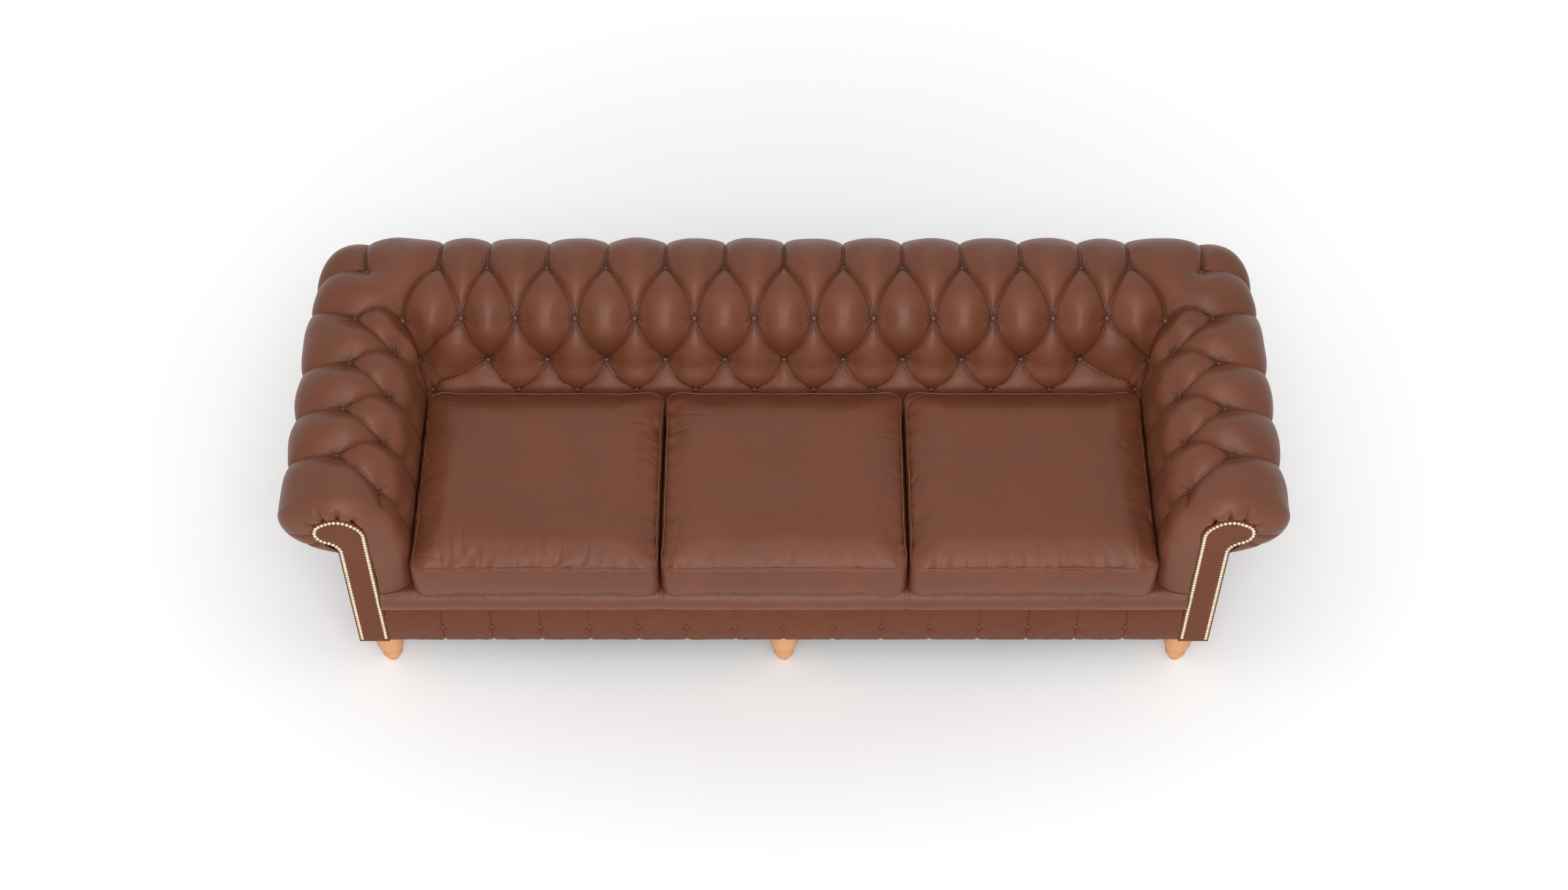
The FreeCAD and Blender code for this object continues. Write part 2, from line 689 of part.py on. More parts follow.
# Outer lines of the leather at the kinds of station, as row and rise: an end
# of an arc, its middle, the next end and so on. The leather is flat for a
# little way on both sides of a button.
SEAT = 0.06
ODD = [(-1, 0), (-0.5, 0.1), (0, 0), (0.5, 0), (1 - SEAT, 0), (1, 0), (1 + SEAT, 0),
       (2, 1), (3 - SEAT, 0), (3, 0), (3 + SEAT, 0), (4, 1), (4.9, 0.6),
       (4.95, 0.6), (5, 0.6)]
EVEN = [(-1, 1), (-0.5, 1), (0, 1), (0.5, 1), (1, 1), (1.45, 0.85), (2 - SEAT, 0),
        (2, 0), (2 + SEAT, 0), (3, 1), (4 - SEAT, 0), (4, 0), (4 + SEAT, 0),
        (4.5, 0.2), (5, 0)]
BETWEEN = [(-1, 0.5), (-0.5, 0.5), (0, 0.5), (0.5, 0.6), (1, 0.68), (1.27, 0.55),
           (1.5, 0.08), (2, 0.68), (2.5, 0.08), (3, 0.68), (3.5, 0.1), (4, 0.6),
           (4.5, 0.2), (4.75, 0.3), (5, 0.4)]
CORNER = [(-1, 0), (-0.5, 0), (0, 0), (0.5, 0.1), (1, 0), (1.25, 0.4), (1.5, 0.45),
          (1.75, 0.4), (2, 0), (2.5, 0.45), (3, 0), (3.5, 0.5), (4, 0), (4.5, 0.3),
          (5, 0)]
# Below row 2 an arm has no buttons, only straight pleats down to the seat.
ARM_ODD = ODD[:7] + [(1.6, 0.8), (2.2, 1), (2.6, 1), (3, 1), (3.5, 1), (4, 1),
                     (4.5, 1), (5, 1)]
ARM_EVEN = EVEN[:9] + [(2.3, 0.55), (2.6, 0.8), (3.1, 0.8), (3.6, 0.8), (4.3, 0.8),
                       (5, 0.8)]
ARM_BETWEEN = BETWEEN[:7] + [(1.8, 0.5), (2.1, 0.8), (2.5, 0.93), (3, 0.93),
                             (3.4, 0.93), (3.8, 0.93), (4.4, 0.93), (5, 0.93)]
PLAIN = [(row, 1) for row in (-1, -0.5, 0, 0.5, 1, 1.3, 1.6, 1.95, 2.3, 2.7, 3.1, 3.5,
                              4, 4.5, 5)]
KINDS = {"odd": ODD, "even": EVEN, "between": BETWEEN, "corner": CORNER,
         "arm_odd": ARM_ODD, "arm_even": ARM_EVEN, "arm_between": ARM_BETWEEN,
         "plain": PLAIN}
BUTTON_ROWS = {"odd": (1, 3), "even": (2, 4), "corner": (1, 2, 3, 4),
               "arm_odd": (1,), "arm_even": (2,)}
INNER_ROWS = (5, 3, 2.5, 2, 1.5, 1, 0.5, 0, -0.5, -1)


def chain(points):
    """Arcs through each end, middle and end, or lines where they are straight."""
    edges = []
    for start, middle, end in zip(points[0::2], points[1::2], points[2::2]):
        bow = middle.distanceToLine(start, end - start)
        edges.append(arc(start, middle, end) if bow > 0.02 else line(start, end))
    return edges


def inner_points(station):
    """The line between leather and padding, from the seat to the underside."""
    return [place_point(station, profile(row, -size("leather_min")))
            for row in INNER_ROWS]


def inner_chain(points):
    return [line(points[0], points[1])] + chain(points[1:])


def leather_wire(outer, inner):
    edges = chain(outer) + [line(outer[-1], inner[0])]
    edges += inner_chain(inner) + [line(inner[-1], outer[0])]
    return Part.Wire(edges)


def tufted(station, kind):
    outer = [place_point(station, profile(row, rise)) for row, rise in KINDS[kind]]
    return leather_wire(outer, inner_points(station))


def padding_wire(station):
    """The padding inside the leather, hooked over the top rail."""
    rail_out = size("top_rail_width") + soft_gap
    panel = (panel_x + soft_gap, panel_y + soft_gap)
    behind = (arm_inner + rail_out, back_inner + rail_out)
    before = (arm_inner - soft_gap, back_inner - soft_gap)
    marks = [(panel, top_rail_low - soft_gap), (behind, top_rail_low - soft_gap),
             (behind, top_rail_high + soft_gap), (before, top_rail_high + soft_gap),
             (before, deck_top + soft_gap)]
    inner = inner_points(station)
    ends = [inner[-1]]
    ends += [place_point(station, (*out, z, SQUARE)) for out, z in marks]
    ends.append(inner[0])
    return Part.Wire(inner_chain(inner) + [line(a, b) for a, b in zip(ends, ends[1:])])


def cap_pull(row):
    """How far the front end of an arm is drawn in: least under the roll, most
    round its side and top, and less again below it."""
    if row < 0:
        under = size("cap_under")
        return under + (size("cap_round") - under) * (row + 1)
    return size("cap_round") if row < 1.7 else size("cap_face")


def front_cap(side):
    """The front end of an arm's leather: rounded in to the facing's edge."""
    y = front + size("cap_setback")
    level = deck_top + soft_gap
    outer = []
    for row, rise in PLAIN:
        low, high = profile(row, 0), profile(row, rise)
        out, up = high[0] - low[0], high[2] - low[2]
        pull = cap_pull(row) / math.hypot(out, up)
        outer.append(Vec(side * (high[0] - pull * out), y, max(high[2] - pull * up, level)))
    marks = [("inner", -0.014, 0.4), ("inner", 0.027, 0.68), ("inner", 0.27, 0.88),
             ("inner", 0.54, 0.98), ("inner", 0.85, 1.01), ("outer", 0.81, 0.85),
             ("outer", 1.02, 0.62), ("outer", 0.77, 0.3), ("outer", 0.02, 0)]
    inner = [Vec(side * (facing_inner - size("cap_gap")), y, level)]
    inner += [scroll_point(side, y, *mark) for mark in marks]
    return leather_wire(outer, inner)


# Stations along one arm, from the front to the mitre
cap_end = frame_front + size("cap_gap")
first_even = front + size("first_arm_button")
arm_step = (corner_y - first_even) / size("arm_tufts")
arm_stations = [(cap_end, "plain"), (front + size("plain_end"), "plain")]
for index in range(int(size("arm_tufts"))):
    y = first_even + index * arm_step
    arm_stations += [(y, "arm_even"), (y + arm_step / 4, "arm_between"),
                     (y + arm_step / 2, "arm_odd"),
                     (y + 3 * arm_step / 4, "arm_between")]
arm_stations.append((corner_y, "arm_even"))
turn_stations = [(0.2 * mitre, "arm_between"), (0.4 * mitre, "arm_odd"),
                 (0.7 * mitre, "arm_between"), (mitre, "corner")]
back_turn = [(mitre, "corner"), (mitre + 0.48 * (90 - mitre), "between")]

# Stations along the back: buttons every pitch, and one more at each corner
button_x = [index * size("back_pitch") for index in range(int(size("back_tufts")) + 1)]
button_x.append(corner_x)
half_stations = []
for start_x, end_x in zip(button_x, button_x[1:]):
    step = (end_x - start_x) / 4
    half_stations += [(start_x, "odd"), (start_x + step, "between"),
                      (start_x + 2 * step, "even"), (start_x + 3 * step, "between")]
half_stations.append((corner_x, "odd"))

arm_runs = {}
for name, side in SIDES:
    run = [(("arm", y, side), kind) for y, kind in arm_stations]
    run += [(("turn", angle, side), kind) for angle, kind in turn_stations]
    arm_runs[name] = run
left_turn = [(("turn", angle, -1), kind) for angle, kind in back_turn]
right_turn = [(("turn", angle, 1), kind) for angle, kind in reversed(back_turn)]
back_run = left_turn + [(("back", -x, 0), kind) for x, kind in reversed(half_stations)]
back_run += [(("back", x, 0), kind) for x, kind in half_stations[1:]] + right_turn

leathers = {"back": solid("back_leather", loft([tufted(*stop) for stop in back_run]))}
bends = [station for station, kind in left_turn]
bends += [("back", -corner_x, 0), ("back", corner_x, 0)]
bends += [station for station, kind in right_turn]
solid("back_padding", loft([padding_wire(station) for station in bends]))
for name, side in SIDES:
    wires = [front_cap(side)] + [tufted(*stop) for stop in arm_runs[name]]
    leathers[name] = solid(f"arm_leather_{name}", loft(wires))
    bends = [("arm", cap_end, side), ("arm", corner_y, side)]
    bends += [("turn", angle, side) for angle, kind in turn_stations]
    solid(f"arm_padding_{name}", loft([padding_wire(station) for station in bends]))


# Covered buttons in the tufts
tuft_button = button_shape(size("button_dia"), size("button_thick"))
grounds = [leather.Shape for leather in leathers.values()]


def buttons_at(run):
    """A button on each row that a station has, just above the leather."""
    made = []
    for station, kind in run:
        for row in BUTTON_ROWS.get(kind, ()):
            lift = soft_gap + size("button_lift") * ROWS[row][5]
            made.append(seated(tuft_button, place_point(station, profile(row, 0)),
                               place_normal(station, row), grounds, lift))
    return Part.makeCompound(made)


solid("back_buttons", buttons_at(back_run))
for name, side in SIDES:
    solid(f"arm_buttons_{name}", buttons_at(arm_runs[name][:-1]))


# Loose seat cushions: a leather cover round a foam core
cushion_low = deck_top + size("seat_clearance")
seam_high = cushion_low + size("cushion_boxing")
cushion_front = front - size("cushion_overhang")
cushion_back = roll_y - size("seat_back") - size("back_clearance")
cushion_pitch = size("cushion_width") + size("cushion_gap")


def cushion_wire(x, z, inset, draw, corner):
    """A rounded rectangle whose sides are drawn in between the corners."""
    x0 = x - size("cushion_width") / 2 + inset
    x1 = x + size("cushion_width") / 2 - inset
    y0 = cushion_front + inset
    y1 = cushion_back - inset
    mid_y = (y0 + y1) / 2
    bend = corner * (1 - math.sqrt(0.5))

    def at(px, py):
        return Vec(px, py, z)
    return Part.Wire([
        arc(at(x0 + corner, y0), at(x, y0 + draw), at(x1 - corner, y0)),
        arc(at(x1 - corner, y0), at(x1 - bend, y0 + bend), at(x1, y0 + corner)),
        arc(at(x1, y0 + corner), at(x1 - draw, mid_y), at(x1, y1 - corner)),
        arc(at(x1, y1 - corner), at(x1 - bend, y1 - bend), at(x1 - corner, y1)),
        arc(at(x1 - corner, y1), at(x, y1 - draw), at(x0 + corner, y1)),
        arc(at(x0 + corner, y1), at(x0 + bend, y1 - bend), at(x0, y1 - corner)),
        arc(at(x0, y1 - corner), at(x0 + draw, mid_y), at(x0, y0 + corner)),
        arc(at(x0, y0 + corner), at(x0 + bend, y0 + bend), at(x0 + corner, y0)),
    ])


def cushion_form(x, wall):
    """A crowned box cushion, smaller all round by a wall."""
    half = size("cushion_width") / 2
    draw = size("cushion_draw")
    crown = size("cushion_crown")
    fillet = size("cushion_fillet")
    low = cushion_low + wall
    high = seam_high - wall
    levels = [(low, fillet, 1), (low + 0.7 * fillet, 0, 1),
              ((low + high) / 2, draw / 3, draw), (high - fillet / 2, 0, 1), (high, 1, 1)]
    levels += [(high + crown * rise, half * share, 1)
               for rise, share in ((0.5, 0.13), (0.82, 0.31), (0.97, 0.55), (1, 0.73))]
    return loft([cushion_wire(x, z, inset + wall, bow, size("cushion_corner"))
                 for z, inset, bow in levels])


for name, index in (("left", -1), ("middle", 0), ("right", 1)):
    x = index * cushion_pitch
    shell = cushion_form(x, 0).cut(cushion_form(x, size("cushion_wall")))
    solid(f"cushion_cover_{name}", shell)
    solid(f"cushion_core_{name}",
          cushion_form(x, size("cushion_wall") + size("core_clearance")))


# Every object is sound before anything is written
doc.recompute()
for item in doc.Objects:
    if "Invalid" in item.State or "Error" in item.State:
        raise RuntimeError(f"{item.Name} did not recompute: {item.State}")
labels = [piece.Label for piece in nodes]
assert len(labels) == len(set(labels)), "two sub-parts share a name"
for piece in nodes:
    if piece.Shape.isNull() or not piece.Shape.isValid() or piece.Shape.Volume <= 0:
        raise RuntimeError(f"{piece.Label} is not a sound solid")
for piece in nodes:
    piece.Shape.exportStep(f"parts/{piece.Label}.step")
whole = Part.makeCompound([piece.Shape for piece in nodes]).BoundBox
print(len(nodes), "sub-parts")
print(f"X {whole.XMin:.1f} {whole.XMax:.1f}  Y {whole.YMin:.1f} {whole.YMax:.1f}  "
      f"Z {whole.ZMin:.1f} {whole.ZMax:.1f}")
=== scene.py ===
import json
import math
import bmesh
import bpy
import numpy as np
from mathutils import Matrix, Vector


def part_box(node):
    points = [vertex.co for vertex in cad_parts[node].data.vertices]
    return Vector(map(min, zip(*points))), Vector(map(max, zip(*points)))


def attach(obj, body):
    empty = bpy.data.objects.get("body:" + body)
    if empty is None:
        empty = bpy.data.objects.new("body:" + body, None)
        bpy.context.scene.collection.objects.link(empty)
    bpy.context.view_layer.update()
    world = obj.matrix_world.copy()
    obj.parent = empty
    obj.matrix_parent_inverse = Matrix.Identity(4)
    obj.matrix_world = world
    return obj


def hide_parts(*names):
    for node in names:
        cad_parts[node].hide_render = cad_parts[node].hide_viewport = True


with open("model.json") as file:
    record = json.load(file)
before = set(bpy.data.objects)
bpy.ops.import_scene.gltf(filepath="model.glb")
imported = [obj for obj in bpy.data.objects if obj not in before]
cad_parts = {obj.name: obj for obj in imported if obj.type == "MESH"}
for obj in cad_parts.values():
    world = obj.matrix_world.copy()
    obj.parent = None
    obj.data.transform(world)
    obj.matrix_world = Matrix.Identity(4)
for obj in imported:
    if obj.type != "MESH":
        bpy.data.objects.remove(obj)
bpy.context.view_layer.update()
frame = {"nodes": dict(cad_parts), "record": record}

bl_info = {
    "name": "Deep-buttoned sofa",
    "version": (1, 0, 0),
    "blender": (4, 5, 0),
    "location": "3D View > Sidebar > Sofa",
    "description": "Leather, padding, cushions and studio of a rolled-arm sofa",
    "category": "Add Mesh",
}

BODY = "sofa_frame"
SIDES = (("left", -1), ("right", 1))
CUSHIONS = ("left", "middle", "right")

# Planes of the sofa that the leather follows
FACING_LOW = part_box("facing_leather_right")[0]
BORDER_LOW, BORDER_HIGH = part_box("front_border")
LIP_LOW, LIP_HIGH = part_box("lip_roll")
FRONT = FACING_LOW.y
FACING_INNER = FACING_LOW.x
BACKING = FRONT + 0.0195

# Across the arms and the back, from the underside of the roll (row -1) over
# its side (row 0) and four rows of buttons to the seat (row 5): distance out on
# an arm and on the back, height, direction out and up, height of a full tuft
# above a button, and how square the row turns the rear corners.
ROWS = np.array([
    (1.0403, 0.3218, 0.4920, 0.0, -1.0, 0.006, 40.0),
    (1.1600, 0.4415, 0.5830, 1.0, 0.0, 0.012, 4.2),
    (1.0450, 0.3265, 0.6450, 0.0, 1.0, 0.035, 9.0),
    (0.9460, 0.2005, 0.5970, -0.707, 0.707, 0.033, 7.0),
    (0.9140, 0.1585, 0.4900, -0.95, 0.31, 0.028, 6.0),
    (0.8970, 0.1125, 0.4250, -1.0, 0.0, 0.009, 6.0),
    (0.8960, 0.1065, 0.3336, -1.0, 0.0, 0.005, 6.0),
])
CORNER_X, CORNER_Y = 0.855, 0.0885
ARM_RUN = CORNER_Y - FRONT
TURN_RUN = 0.30
MITRE = ARM_RUN + TURN_RUN * 51.5 / 90
CORNER_PLEATS = (ARM_RUN + TURN_RUN * 28.8 / 90, ARM_RUN + TURN_RUN * 65.7 / 90)
BACK_START = ARM_RUN + TURN_RUN
MIDDLE = BACK_START + CORNER_X
FIRST_BUTTON = 0.112
BACK_PITCH = 0.147
ARM_EVEN = [FIRST_BUTTON + step * (ARM_RUN - FIRST_BUTTON) / 3 for step in range(4)]
ARM_ODD = [(a + b) / 2 for a, b in zip(ARM_EVEN, ARM_EVEN[1:])]
ARM_ODD.append(ARM_RUN + 0.4 * (MITRE - ARM_RUN))
BACK_ODD = [BACK_START] + [MIDDLE - step * BACK_PITCH for step in range(5, -1, -1)]
BACK_EVEN = [(a + b) / 2 for a, b in zip(BACK_ODD, BACK_ODD[1:])]
# How far a button stands off the base surface: on the roll and the arms, in the
# back's two middle rows, in its lowest row and in the mitre
SUNK, PROUD, LOWEST, IN_MITRE = -0.0055, 0.0030, -0.001, -0.002
# How deep the inner side of a hide lies, and a distance beyond any of its points
INSIDE, FAR = 0.016, 9.0

# Where the leather of an arm's front end meets its facing: row, x and height
SCROLL = np.array([
    (-1.0, 1.0410, 0.5120), (-0.6, 1.0700, 0.5420), (-0.2, 1.0920, 0.5700),
    (0.1, 1.0930, 0.5900), (0.45, 1.0820, 0.6120), (0.75, 1.0620, 0.6270),
    (1.05, 1.0290, 0.6345), (1.35, 1.0050, 0.6290), (1.6, 0.9860, 0.6170),
    (1.85, 0.9720, 0.6000), (2.1, 0.9660, 0.5750), (2.5, 0.9655, 0.5420),
    (5.0, 0.9655, 0.3336),
])
# Rows at which gathers run in from an arm's front rounding
GATHERS = (-0.5, -0.12, 0.45, 0.8, 1.12, 1.5)
HIDE_SEED = 60

# Front and cushions
LIP_SEAMS = (-0.294, 0.294)
BORDER_PITCH = 0.1186
BUTTON_LEVEL = 0.186
SEAM_HIGH = 0.4533
CUSHION_CORNER = 0.036
CUSHION_SLACK = 0.009
CUSHION_SEED = 70
CLOTH_FRAMES = 20
WELT_STOPS = 180

# Turned outline of a foot from the floor up: share of its radius and of its height
FOOT_OUTLINE = (
    (0.0, 0.0), (0.33, 0.0), (0.40, 0.015), (0.455, 0.05), (0.475, 0.085), (0.465, 0.12),
    (0.42, 0.148), (0.42, 0.155), (0.47, 0.163), (0.62, 0.178), (0.70, 0.20), (0.735, 0.235),
    (0.735, 0.265), (0.70, 0.295), (0.62, 0.315), (0.615, 0.325), (0.68, 0.335),
    (0.80, 0.385), (0.885, 0.445), (0.95, 0.515), (0.99, 0.59), (1.0, 0.645), (0.985, 0.68),
    (0.925, 0.695), (0.925, 0.703), (0.97, 0.715), (0.995, 0.74), (0.995, 0.775),
    (0.97, 0.80), (0.915, 0.815), (0.915, 0.823), (0.96, 0.835), (0.985, 0.87),
    (0.985, 0.94), (0.97, 1.0), (0.0, 1.0))

# Studio: half the floor, the distances between which its glow grows, its glow
# at the far one, the light of the world, and each lamp's place, aim, sides and watts.
# The floor is darker near the sofa, where its glow is low: painted shade round
# the sofa; far off the glow whitens the floor.
FLOOR_HALF = 14
GLOW_NEAR, GLOW_FAR, FAR_GLOW = 0.65, 3.4, 0.62
WORLD_LEVEL = 0.43
LAMPS = (("lamp_top", (0.0, -0.9, 3.6), (0, -0.2, 0.3), 3.4, 2.0, 22),
         ("lamp_back", (-0.4, 2.6, 2.7), (0, 0.1, 0.5), 3.2, 1.2, 7),
         ("lamp_key", (0.3, -4.3, 5.9), (0, -0.1, 0.4), 3.2, 2.2, 125),
         ("lamp_fill", (-0.2, -5.4, 2.8), (0, -0.1, 0.3), 3.2, 1.8, 95))
LENS, SENSOR = 57.1, 36
CAMERA_AT, CAMERA_TILT = (0.0, -3.772, 5.262), 37.5


# Property groups
def length(label, text, value, **limits):
    return bpy.props.FloatProperty(name=label, description=text, default=value,
                                   subtype="DISTANCE", unit="LENGTH", **limits)


def colour(label, text, value):
    return bpy.props.FloatVectorProperty(name=label, description=text, default=value, size=3,
                                         subtype="COLOR")


class SofaSizes(bpy.types.PropertyGroup):
    tuft_pitch: length("Leather mesh step", "Spacing of the mesh of the buttoned leather",
                       0.0042, min=0.002)
    tuft_reach: length("Tuft reach", "Distance from a fold at which a tuft is full", 0.066)
    roll_reach: length("Pleat reach", "Distance from a pleat at which the roll is full", 0.072)
    fold_depth: length("Fold depth", "Extra depth of a fold below the buttons", 0.003)
    cap_depth: length("Front rounding", "Depth over which an arm's front end rounds", 0.042)
    button_radius: length("Button radius", "Radius of a covered button in the tufts", 0.0064)
    cushion_voxel: length("Cushion mesh step", "Voxel size of the cushion before inflation",
                          0.0062)
    cushion_pressure: bpy.props.FloatProperty(
        name="Cushion pressure", description="Pressure that inflates a cushion", default=4.0)
    cushion_cap: length("Cushion swell", "Furthest that a point of a cushion moves out", 0.022)
    welt_radius: length("Welt radius", "Radius of the piped seam of a cushion", 0.0021)


class SofaColours(bpy.types.PropertyGroup):
    leather: colour("Leather", "Brown of the leather", (0.166, 0.053, 0.026))
    # Painted shade: a darker brown put down in the folds, pleats and gathers of the tufted leather
    leather_painted_shade: colour("Leather in folds", "Darker brown down in the folds",
                         (0.080, 0.025, 0.013))
    # Partly rub wear, partly painted highlight: a paler brown on the fullest tuft crowns
    leather_wear_and_painted_highlight: colour("Worn leather", "Paler brown where the leather is rubbed",
                         (0.190, 0.074, 0.042))
    foot_wood: colour("Foot wood", "Orange-brown of the turned feet", (0.90, 0.46, 0.21))
    brass: colour("Nail brass", "Pale brass of the dome nails", (0.72, 0.62, 0.43))
    floor: colour("Floor", "Pale floor of the studio", (0.93, 0.93, 0.93))
    # Glow of the floor next to the sofa, kept low so the floor there is darker: painted shade
    # round the sofa
    floor_glow: bpy.props.FloatProperty(
        name="Floor glow", description="Brightness added to the floor as seen or mirrored",
        default=0.075, min=0.0)


# Building blocks
def linked(name, data):
    """A new object in the scene."""
    piece = bpy.data.objects.new(name, data)
    bpy.context.scene.collection.objects.link(piece)
    return piece


def make_object(name, mesh, finish, *nodes, body=BODY, slot="leather"):
    """Links a finished piece, rides it on its body and dresses it."""
    piece = linked(name, mesh)
    mesh.materials.clear()
    mesh.materials.append(bpy.data.materials[finish])
    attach(piece, body)
    if nodes:
        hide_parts(*nodes)
    return piece


def mesh_of(bm, name, smooth=True):
    mesh = bpy.data.meshes.new(name)
    bm.to_mesh(mesh)
    bm.free()
    for polygon in mesh.polygons:
        polygon.use_smooth = smooth
    return mesh


def read_points(mesh, field="co"):
    flat = np.zeros(len(mesh.vertices) * 3)
    mesh.vertices.foreach_get(field, flat)
    return flat.reshape(-1, 3)


def write_points(mesh, points):
    mesh.vertices.foreach_set("co", np.ascontiguousarray(points, float).ravel())
    mesh.update()


def store(mesh, name, kind, values):
    """Keeps a value for each vertex that a material reads."""
    attribute = mesh.attributes.new(name, kind, "POINT")
    field = "vector" if kind == "FLOAT_VECTOR" else "value"
    attribute.data.foreach_set(field, np.ascontiguousarray(values, np.float32).ravel())


def stored(mesh, name):
    values = np.zeros(len(mesh.vertices), np.float32)
    mesh.attributes[name].data.foreach_get("value", values)
    return values


def evaluated(piece):
    """A mesh of a piece with its modifiers applied, in place of the piece."""
    graph = bpy.context.evaluated_depsgraph_get()
    mesh = bpy.data.meshes.new_from_object(piece.evaluated_get(graph))
    bpy.data.objects.remove(piece)
    return mesh


def stacked(*columns):
    """Columns side by side along a last axis."""
    return np.stack(np.broadcast_arrays(*columns), axis=-1)


def ripple(points, scale, seed, terms=9):
    """Smooth seeded noise, about -1 to 1: waves of one rough length each way."""
    rng = np.random.default_rng(seed)
    total = np.zeros(len(points))
    for _ in range(terms):
        way = rng.normal(size=3)
        way *= 2 * math.pi / scale * rng.uniform(0.6, 1.5) / np.linalg.norm(way)
        total += np.sin(points @ way + rng.uniform(0, 2 * math.pi))
    return total / terms ** 0.5 / 1.6


def grid(name, points, closed=False):
    """A sheet of quads on rows of points, or a tube of them with filled ends."""
    rows, columns = points.shape[:2]
    bm = bmesh.new()
    bmesh.ops.create_grid(bm, x_segments=columns - 1, y_segments=rows - 1, size=0.5)
    bm.verts.ensure_lookup_table()
    for vert, point in zip(bm.verts, points.reshape(-1, 3)):
        vert.co = point
    if closed:
        last = (rows - 1) * columns
        loops = [edge for edge in bm.edges if edge.is_boundary
                 and (max(v.index for v in edge.verts) < columns
                      or min(v.index for v in edge.verts) >= last)]
        bmesh.ops.bridge_loops(bm, edges=loops)
        ends = [edge for edge in bm.edges if edge.is_boundary]
        for edge in ends:
            edge.smooth = False
        bmesh.ops.holes_fill(bm, edges=ends, sides=0)
    bmesh.ops.recalc_face_normals(bm, faces=bm.faces)
    return mesh_of(bm, name)


def outward(mesh):
    """Turns a closed mesh right side out, by its signed volume."""
    bm = bmesh.new()
    bm.from_mesh(mesh)
    if bm.calc_volume(signed=True) < 0:
        bmesh.ops.reverse_faces(bm, faces=bm.faces)
    bm.to_mesh(mesh)
    bm.free()
    return mesh


def shell(name, points):
    return outward(grid(name, points, closed=True))


def rounded(bm, edges, offset, segments):
    bmesh.ops.bevel(bm, geom=edges, offset=offset, segments=segments, profile=0.5,
                    affect="EDGES", material=-1)


# Materials
class Nodes:
    """Adds and joins the nodes of one material."""

    def __init__(self, name):
        self.material = bpy.data.materials.new(name)
        self.material.use_nodes = True
        self.tree = self.material.node_tree
        self.shader = self.tree.nodes["Principled BSDF"]
        self.object = self.add("ShaderNodeTexCoord").outputs["Object"]

    def add(self, kind, **values):
        node = self.tree.nodes.new(kind)
        for name, value in values.items():
            setattr(node, name, value)
        return node

    def link(self, source, target):
        self.tree.links.new(source, target)

    def texture(self, kind, scale, stretch=None, **inputs):
        """A procedural texture on Object coordinates."""
        node = self.add(kind)
        vector = self.object
        if stretch:
            mapping = self.add("ShaderNodeMapping")
            mapping.inputs["Scale"].default_value = stretch
            self.link(vector, mapping.inputs["Vector"])
            vector = mapping.outputs["Vector"]
        self.link(vector, node.inputs["Vector"])
        node.inputs["Scale"].default_value = scale
        for name, value in inputs.items():
            node.inputs[name].default_value = value
        return node

    def noise(self, scale, stretch=None, **inputs):
        return self.texture("ShaderNodeTexNoise", scale, stretch, **inputs).outputs["Fac"]

    def attribute(self, name):
        return self.add("ShaderNodeAttribute", attribute_name=name)

    def math(self, operation, a, b=None):
        node = self.add("ShaderNodeMath", operation=operation)
        for socket, value in zip(node.inputs, (a, b)):
            if value is None:
                continue
            if isinstance(value, (int, float)):
                socket.default_value = value
            else:
                self.link(value, socket)
        return node.outputs[0]

    def weigh(self, a, share_a, b, share_b):
        return self.math("ADD", self.math("MULTIPLY", a, share_a),
                         self.math("MULTIPLY", b, share_b))

    def remap(self, value, low, high, to_low=0.0, to_high=1.0):
        node = self.add("ShaderNodeMapRange")
        self.link(value, node.inputs["Value"])
        for name, number in zip(("From Min", "From Max", "To Min", "To Max"),
                                (low, high, to_low, to_high)):
            node.inputs[name].default_value = number
        return node.outputs["Result"]

    def mix(self, share, a, b):
        node = self.add("ShaderNodeMix", data_type="RGBA")
        self.link(share, node.inputs[0])
        for socket, value in ((node.inputs[6], a), (node.inputs[7], b)):
            if isinstance(value, bpy.types.NodeSocket):
                self.link(value, socket)
            else:
                socket.default_value = (*value, 1)
        return node.outputs[2]

    def bump(self, height, distance, strength=1.0, below=None):
        node = self.add("ShaderNodeBump")
        node.inputs["Strength"].default_value = strength
        node.inputs["Distance"].default_value = distance
        self.link(height, node.inputs["Height"])
        if below is not None:
            self.link(below, node.inputs["Normal"])
        return node.outputs["Normal"]

    def set(self, **inputs):
        for name, value in inputs.items():
            self.shader.inputs[name.replace("_", " ")].default_value = value

    def finish(self, **inputs):
        """Joins sockets to the shader, sets its other inputs and gives the material."""
        for name, value in inputs.items():
            if isinstance(value, bpy.types.NodeSocket):
                self.link(value, self.shader.inputs[name.replace("_", " ")])
            else:
                self.set(**{name: value})
        return self.material


def shade(tone, level=1.0):
    return tuple(level * c for c in tone)


